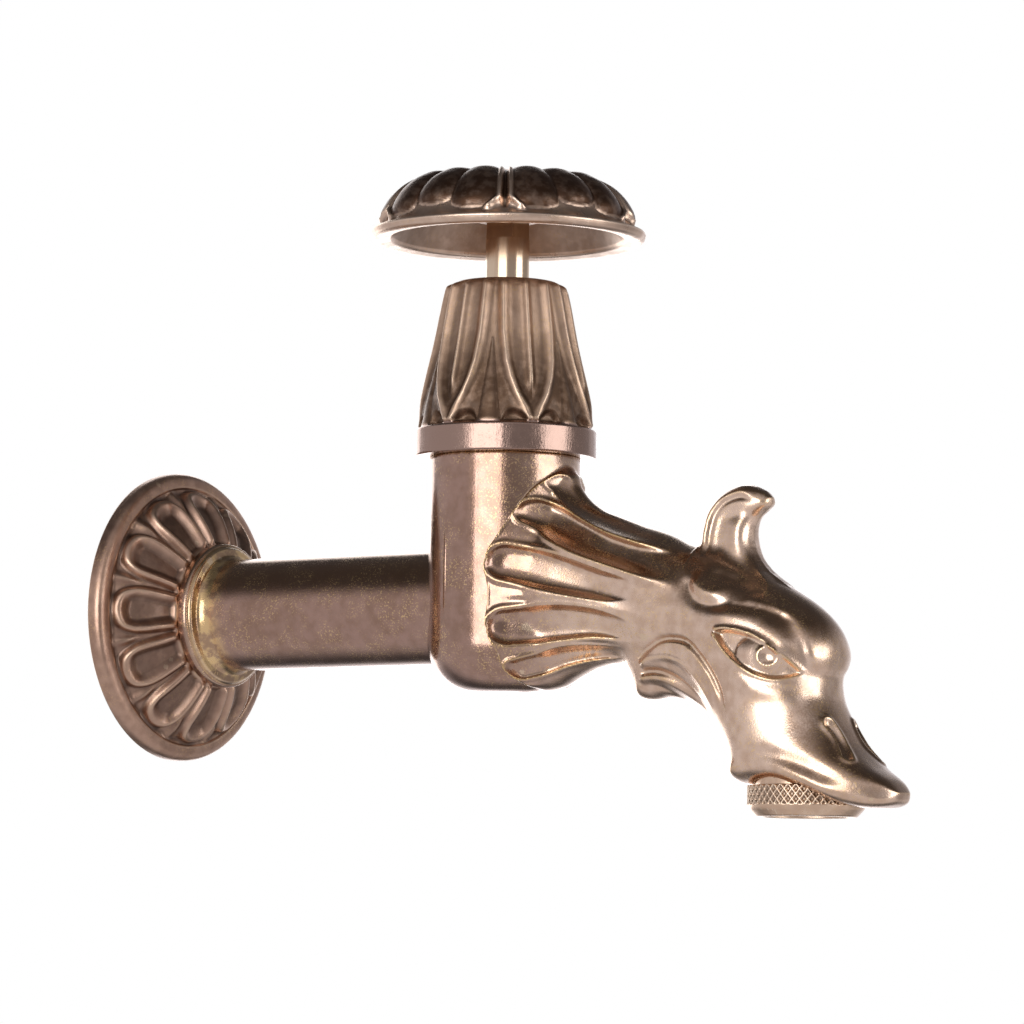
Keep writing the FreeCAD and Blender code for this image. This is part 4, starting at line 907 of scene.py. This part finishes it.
PLAIN_SURFACES = {
    "stem_brass": dict(light=(0.86, 0.69, 0.51), dark=(0.74, 0.56, 0.40), roughness=0.14, metallic=1.0,
                       scale=300.0, stretch=(1, 1, 0.1)),
    "plain_brass": dict(light=(0.80, 0.62, 0.34), dark=(0.66, 0.49, 0.25), roughness=0.25, metallic=1.0),
    "fibre": dict(light=(0.50, 0.22, 0.14), dark=(0.38, 0.16, 0.1), roughness=0.8),
    "packing": dict(light=(0.86, 0.84, 0.78), dark=(0.7, 0.67, 0.6), roughness=0.9, pits=0.5),
    "spring_steel": dict(light=(0.66, 0.66, 0.66), dark=(0.52, 0.52, 0.53), roughness=0.24, metallic=1.0),
    "black_rubber": dict(light=(0.035, 0.035, 0.035), dark=(0.02, 0.02, 0.02), roughness=0.7),
    "white_plastic": dict(light=(0.85, 0.85, 0.83), dark=(0.78, 0.78, 0.76), roughness=0.45),
}


def material_nodes(name):
    return Nodes(bpy.data.materials.new(name), "Principled BSDF", "Object")


def antique_metal(name, light, dark, roughness, flecks, coat, edge, golden=None, brushed=None,
                  polished=None, hollow_tone=None, painted_shade_tone=None):
    """Aged brass: patchy tone, painted shade in hollows, edges lightened as rubbed wear and painted
    highlight, fine flecks and a thin lacquer.
    golden is the light tone, dark tone and roughness that take over towards the beast's head.
    polished is a height, with the tone and roughness of the plain metal below it."""
    nodes = material_nodes(name)
    x, _, z = nodes.split(nodes.place)
    patches = nodes.remap(nodes.plus(nodes.noise(55.0, 4.0), nodes.noise(420.0)), 0.7, 1.3)
    color = nodes.mix(patches, dark, light)
    grain = nodes.noise(2500.0, 2.0)
    rough = nodes.remap(nodes.noise(300.0, 4.0), 0.3, 0.7, roughness - 0.04, roughness + 0.06)
    crowded = nodes.remap(nodes.noise(160.0), 0.42, 0.6)
    if golden:
        light_gold, dark_gold, gold_roughness = golden
        headward = nodes.remap(x, 0.094, 0.118)
        color = nodes.mix(headward, color, nodes.mix(patches, dark_gold, light_gold))
        rough = nodes.plus(rough, nodes.times(headward, gold_roughness - roughness))
        # painted shade: the faces that look up are painted a darker brown
        _, _, up = nodes.split(nodes.texture_place.outputs["Normal"])
        upward = nodes.plus(up, nodes.times(grain, 0.5))
        color = nodes.mix(nodes.remap(upward, 0.38, 0.85, 0.0, 0.85), color, painted_shade_tone)
        # the fillet beside the collar is rubbed to gold
        fillet = nodes.times(nodes.remap(x, 0.0145, 0.0158), nodes.remap(x, 0.0185, 0.0225, 0.9, 0.0))
        fillet = nodes.times(fillet, nodes.remap(nodes.noise(420.0), 0.38, 0.6, 0.25, 1.0))
        color = nodes.mix(fillet, color, GOLD)
        # the flecks crowd together where the flutes meet the barrel
        near_flutes = nodes.times(nodes.remap(x, 0.0895, 0.0965), nodes.remap(x, 0.108, 0.126, 1.0, 0.0))
        crowded = nodes.combine("MAXIMUM", crowded, nodes.times(near_flutes, 0.55))
    flecked = nodes.times(nodes.remap(grain, 0.54, 0.66), crowded)
    color = nodes.mix(nodes.times(flecked, flecks), color, GOLD)
    # painted shade in the hollows, or the given hollow tone instead; convex edges lightened, partly as
    # rubbed wear and partly as painted highlight
    shape = nodes.add("ShaderNodeNewGeometry").outputs["Pointiness"]
    deep = hollow_tone or tuple(0.22 * c for c in dark)
    color = nodes.mix(nodes.remap(shape, 0.44, 0.495, 0.8, 0.0), color, deep)
    color = nodes.mix(nodes.remap(shape, 0.505, 0.56, 0.0, 0.75), color, edge)
    # painted shade from each piece's per-vertex attribute darkens the colour; it also makes the surface a
    # little rougher
    painted_shade = nodes.add("ShaderNodeAttribute", attribute_name="painted_shade").outputs["Fac"]
    painted_shade = nodes.times(painted_shade, nodes.remap(nodes.noise(500.0), 0.3, 0.6, 0.8, 1.0))
    color = nodes.mix(painted_shade, color, painted_shade_tone or deep)
    rough = nodes.plus(rough, nodes.times(flecked, 0.12))
    rough = nodes.plus(rough, nodes.times(painted_shade, 0.12))
    if polished:
        top, polished_tone, polished_roughness = polished
        below = nodes.remap(z, top, top + 0.0003, 1.0, 0.0)
        color = nodes.mix(below, color, polished_tone)
        rough = nodes.plus(rough, nodes.times(below, polished_roughness - roughness))
    height = grain
    if brushed:
        height = nodes.plus(grain, nodes.times(nodes.noise(900.0, 2.0, brushed), 1.5))
    nodes.bump(height, 0.12, 0.00025)
    nodes.paint(color, rough, 1.0)
    nodes.shader.inputs["Coat Weight"].default_value = coat
    nodes.shader.inputs["Coat Roughness"].default_value = 0.12
    nodes.shader.inputs["Coat IOR"].default_value = 1.7
    return nodes.owner


def plain_surface(name, light, dark, roughness, metallic=0.0, scale=500.0, stretch=None, pits=0.1):
    """A plain material with a little variation in tone, roughness and height."""
    nodes = material_nodes(name)
    spots = nodes.noise(scale, 4.0, stretch)
    color = nodes.mix(nodes.remap(spots, 0.35, 0.65), dark, light)
    rough = nodes.remap(spots, 0.3, 0.7, roughness + 0.06, roughness - 0.04)
    nodes.bump(nodes.noise(scale * 4, 2.0, stretch), pits, 0.0001)
    nodes.paint(color, rough, metallic)
    return nodes.owner


def make_materials():
    """A material for each slot in the record."""
    made = {name: antique_metal(name, **look) for name, look in ANTIQUE_METALS.items()}
    for name, look in PLAIN_SURFACES.items():
        made[name] = plain_surface(name, **look)
    return made


def dress_cad_nodes():
    """Give each CAD node the material of its slot in the record."""
    for part in frame["record"]["subparts"]:
        for place in frame["nodes"][part["node"]].material_slots:
            place.material = MATERIALS[part["material_slot"]]


# ---------------- camera, light and floor
# Sizes and places from here on are in metres.
LOOK_AT = Vector((90.98, 0.0, 20.28)) * MM
CAMERA_DISTANCE = 1048.03 * MM
CAMERA_AZIMUTH = math.radians(33.48)
CAMERA_ELEVATION = math.radians(-5.36)
CAMERA_ROLL = math.radians(0.685)
FOCAL_LENGTH = 169.82
SENSOR_WIDTH = 36.0
LIGHT_AIM = Vector((0.09, 0.0, 0.0))
LIGHT_DISTANCE = 1.2
ROOM_LEVEL = 0.60
ROOM_DARKENING = 0.51
ROOM_TINT = (1.0, 0.96, 0.99)
GAP_BEARINGS = (-35.0, 52.0)
GAP_DARKENING = 0.28
LOWEST_LEVEL = 0.08
FLOOR_Z = -0.8
FLOOR_HALF_SIZE = 12.0


def add_camera():
    forward = Vector((
        -math.sin(CAMERA_AZIMUTH) * math.cos(CAMERA_ELEVATION),
        math.cos(CAMERA_AZIMUTH) * math.cos(CAMERA_ELEVATION),
        -math.sin(CAMERA_ELEVATION),
    ))
    right = Vector((math.cos(CAMERA_AZIMUTH), math.sin(CAMERA_AZIMUTH), 0.0))
    up = right.cross(forward)
    rolled_right = right * math.cos(CAMERA_ROLL) + up * math.sin(CAMERA_ROLL)
    rolled_up = up * math.cos(CAMERA_ROLL) - right * math.sin(CAMERA_ROLL)
    turn = Matrix((rolled_right, rolled_up, -forward)).transposed().to_4x4()
    data = bpy.data.cameras.new("camera")
    data.lens = FOCAL_LENGTH
    data.sensor_width = SENSOR_WIDTH
    data.clip_start = 0.01
    camera = bpy.data.objects.new("camera", data)
    camera.matrix_world = Matrix.Translation(LOOK_AT - forward * CAMERA_DISTANCE) @ turn
    bpy.context.scene.collection.objects.link(camera)
    bpy.context.scene.camera = camera


def add_softbox(name, bearing, width, height, power, lift):
    """A soft light at a bearing in degrees from the tap's +X axis, aimed at the tap."""
    way = Vector((math.cos(math.radians(bearing)), math.sin(math.radians(bearing)), 0.0))
    data = bpy.data.lights.new(name, "AREA")
    data.shape = "RECTANGLE"
    data.size = width
    data.size_y = height
    data.energy = power
    light = bpy.data.objects.new(name, data)
    light.location = LIGHT_AIM + way * LIGHT_DISTANCE + Vector((0, 0, lift))
    light.rotation_euler = (LIGHT_AIM - light.location).to_track_quat("-Z", "Y").to_euler()
    light.visible_camera = False
    bpy.context.scene.collection.objects.link(light)


def add_world():
    """The room that the metal mirrors: bright behind the tap, dark above and below. The camera
    itself sees plain white."""
    world = bpy.data.worlds.new("studio")
    nodes = Nodes(world, "Background", "Generated")
    _, _, height = nodes.split(nodes.place)
    far = nodes.toward(CAMERA_AZIMUTH + math.pi / 2)
    dark_above = nodes.times(nodes.remap(height, 0.25, 0.65), nodes.remap(far, -1.0, -0.1))
    dark_below = nodes.times(nodes.remap(height, -0.25, -0.65), nodes.remap(far, 0.2, 0.7))
    dark = nodes.plus(dark_above, dark_below)
    level = nodes.combine("SUBTRACT", ROOM_LEVEL, nodes.times(dark, ROOM_DARKENING))
    # dim gaps on both sides of the right softbox
    for bearing in GAP_BEARINGS:
        near_gap = nodes.remap(nodes.toward(math.radians(bearing)), 0.85, 0.95)
        level = nodes.combine("SUBTRACT", level, nodes.times(near_gap, GAP_DARKENING))
        level = nodes.combine("MAXIMUM", level, LOWEST_LEVEL)
    backdrop = nodes.remap(far, 0.80, 0.93)
    level = nodes.combine("MAXIMUM", level, backdrop)
    shade = nodes.add("ShaderNodeVectorMath", operation="SCALE")
    shade.inputs[0].default_value = ROOM_TINT
    nodes.link(level, shade.inputs["Scale"])
    ray = nodes.add("ShaderNodeLightPath")
    color = nodes.mix(ray.outputs["Is Camera Ray"], shade.outputs["Vector"], (1.0, 1.0, 1.0))
    nodes.link(color, nodes.shader.inputs["Color"])
    bpy.context.scene.world = world


def add_floor():
    half = FLOOR_HALF_SIZE
    mesh = bpy.data.meshes.new("floor")
    corners = [(-half, -half, 0), (half, -half, 0), (half, half, 0), (-half, half, 0)]
    mesh.from_pydata(corners, [], [(0, 1, 2, 3)])
    floor = bpy.data.objects.new("floor", mesh)
    floor.location = (0, 0, FLOOR_Z)
    floor.visible_glossy = False
    floor.visible_diffuse = False
    material = bpy.data.materials.new("floor_white")
    material.use_nodes = True
    shader = material.node_tree.nodes["Principled BSDF"]
    shader.inputs["Base Color"].default_value = (0.93, 0.93, 0.94, 1.0)
    shader.inputs["Roughness"].default_value = 0.8
    shader.inputs["Emission Color"].default_value = (1.0, 1.0, 1.0, 1.0)
    shader.inputs["Emission Strength"].default_value = 0.75
    mesh.materials.append(material)
    bpy.context.scene.collection.objects.link(floor)


add_camera()
add_world()
add_softbox("left_softbox", -82.0, 0.9, 0.75, 5.6, 0.1)
add_softbox("right_softbox", 10.5, 0.78, 0.8, 3.9, 0.1)
add_softbox("back_softbox", 140.0, 1.2, 1.2, 7.0, 0.2)
add_floor()

MATERIALS = make_materials()
dress_cad_nodes()
make_spout()
make_inlet_pipe()
make_rosette()
make_bonnet()
make_handwheel()
make_aerator_ring()

bpy.context.scene.view_settings.view_transform = "Standard"
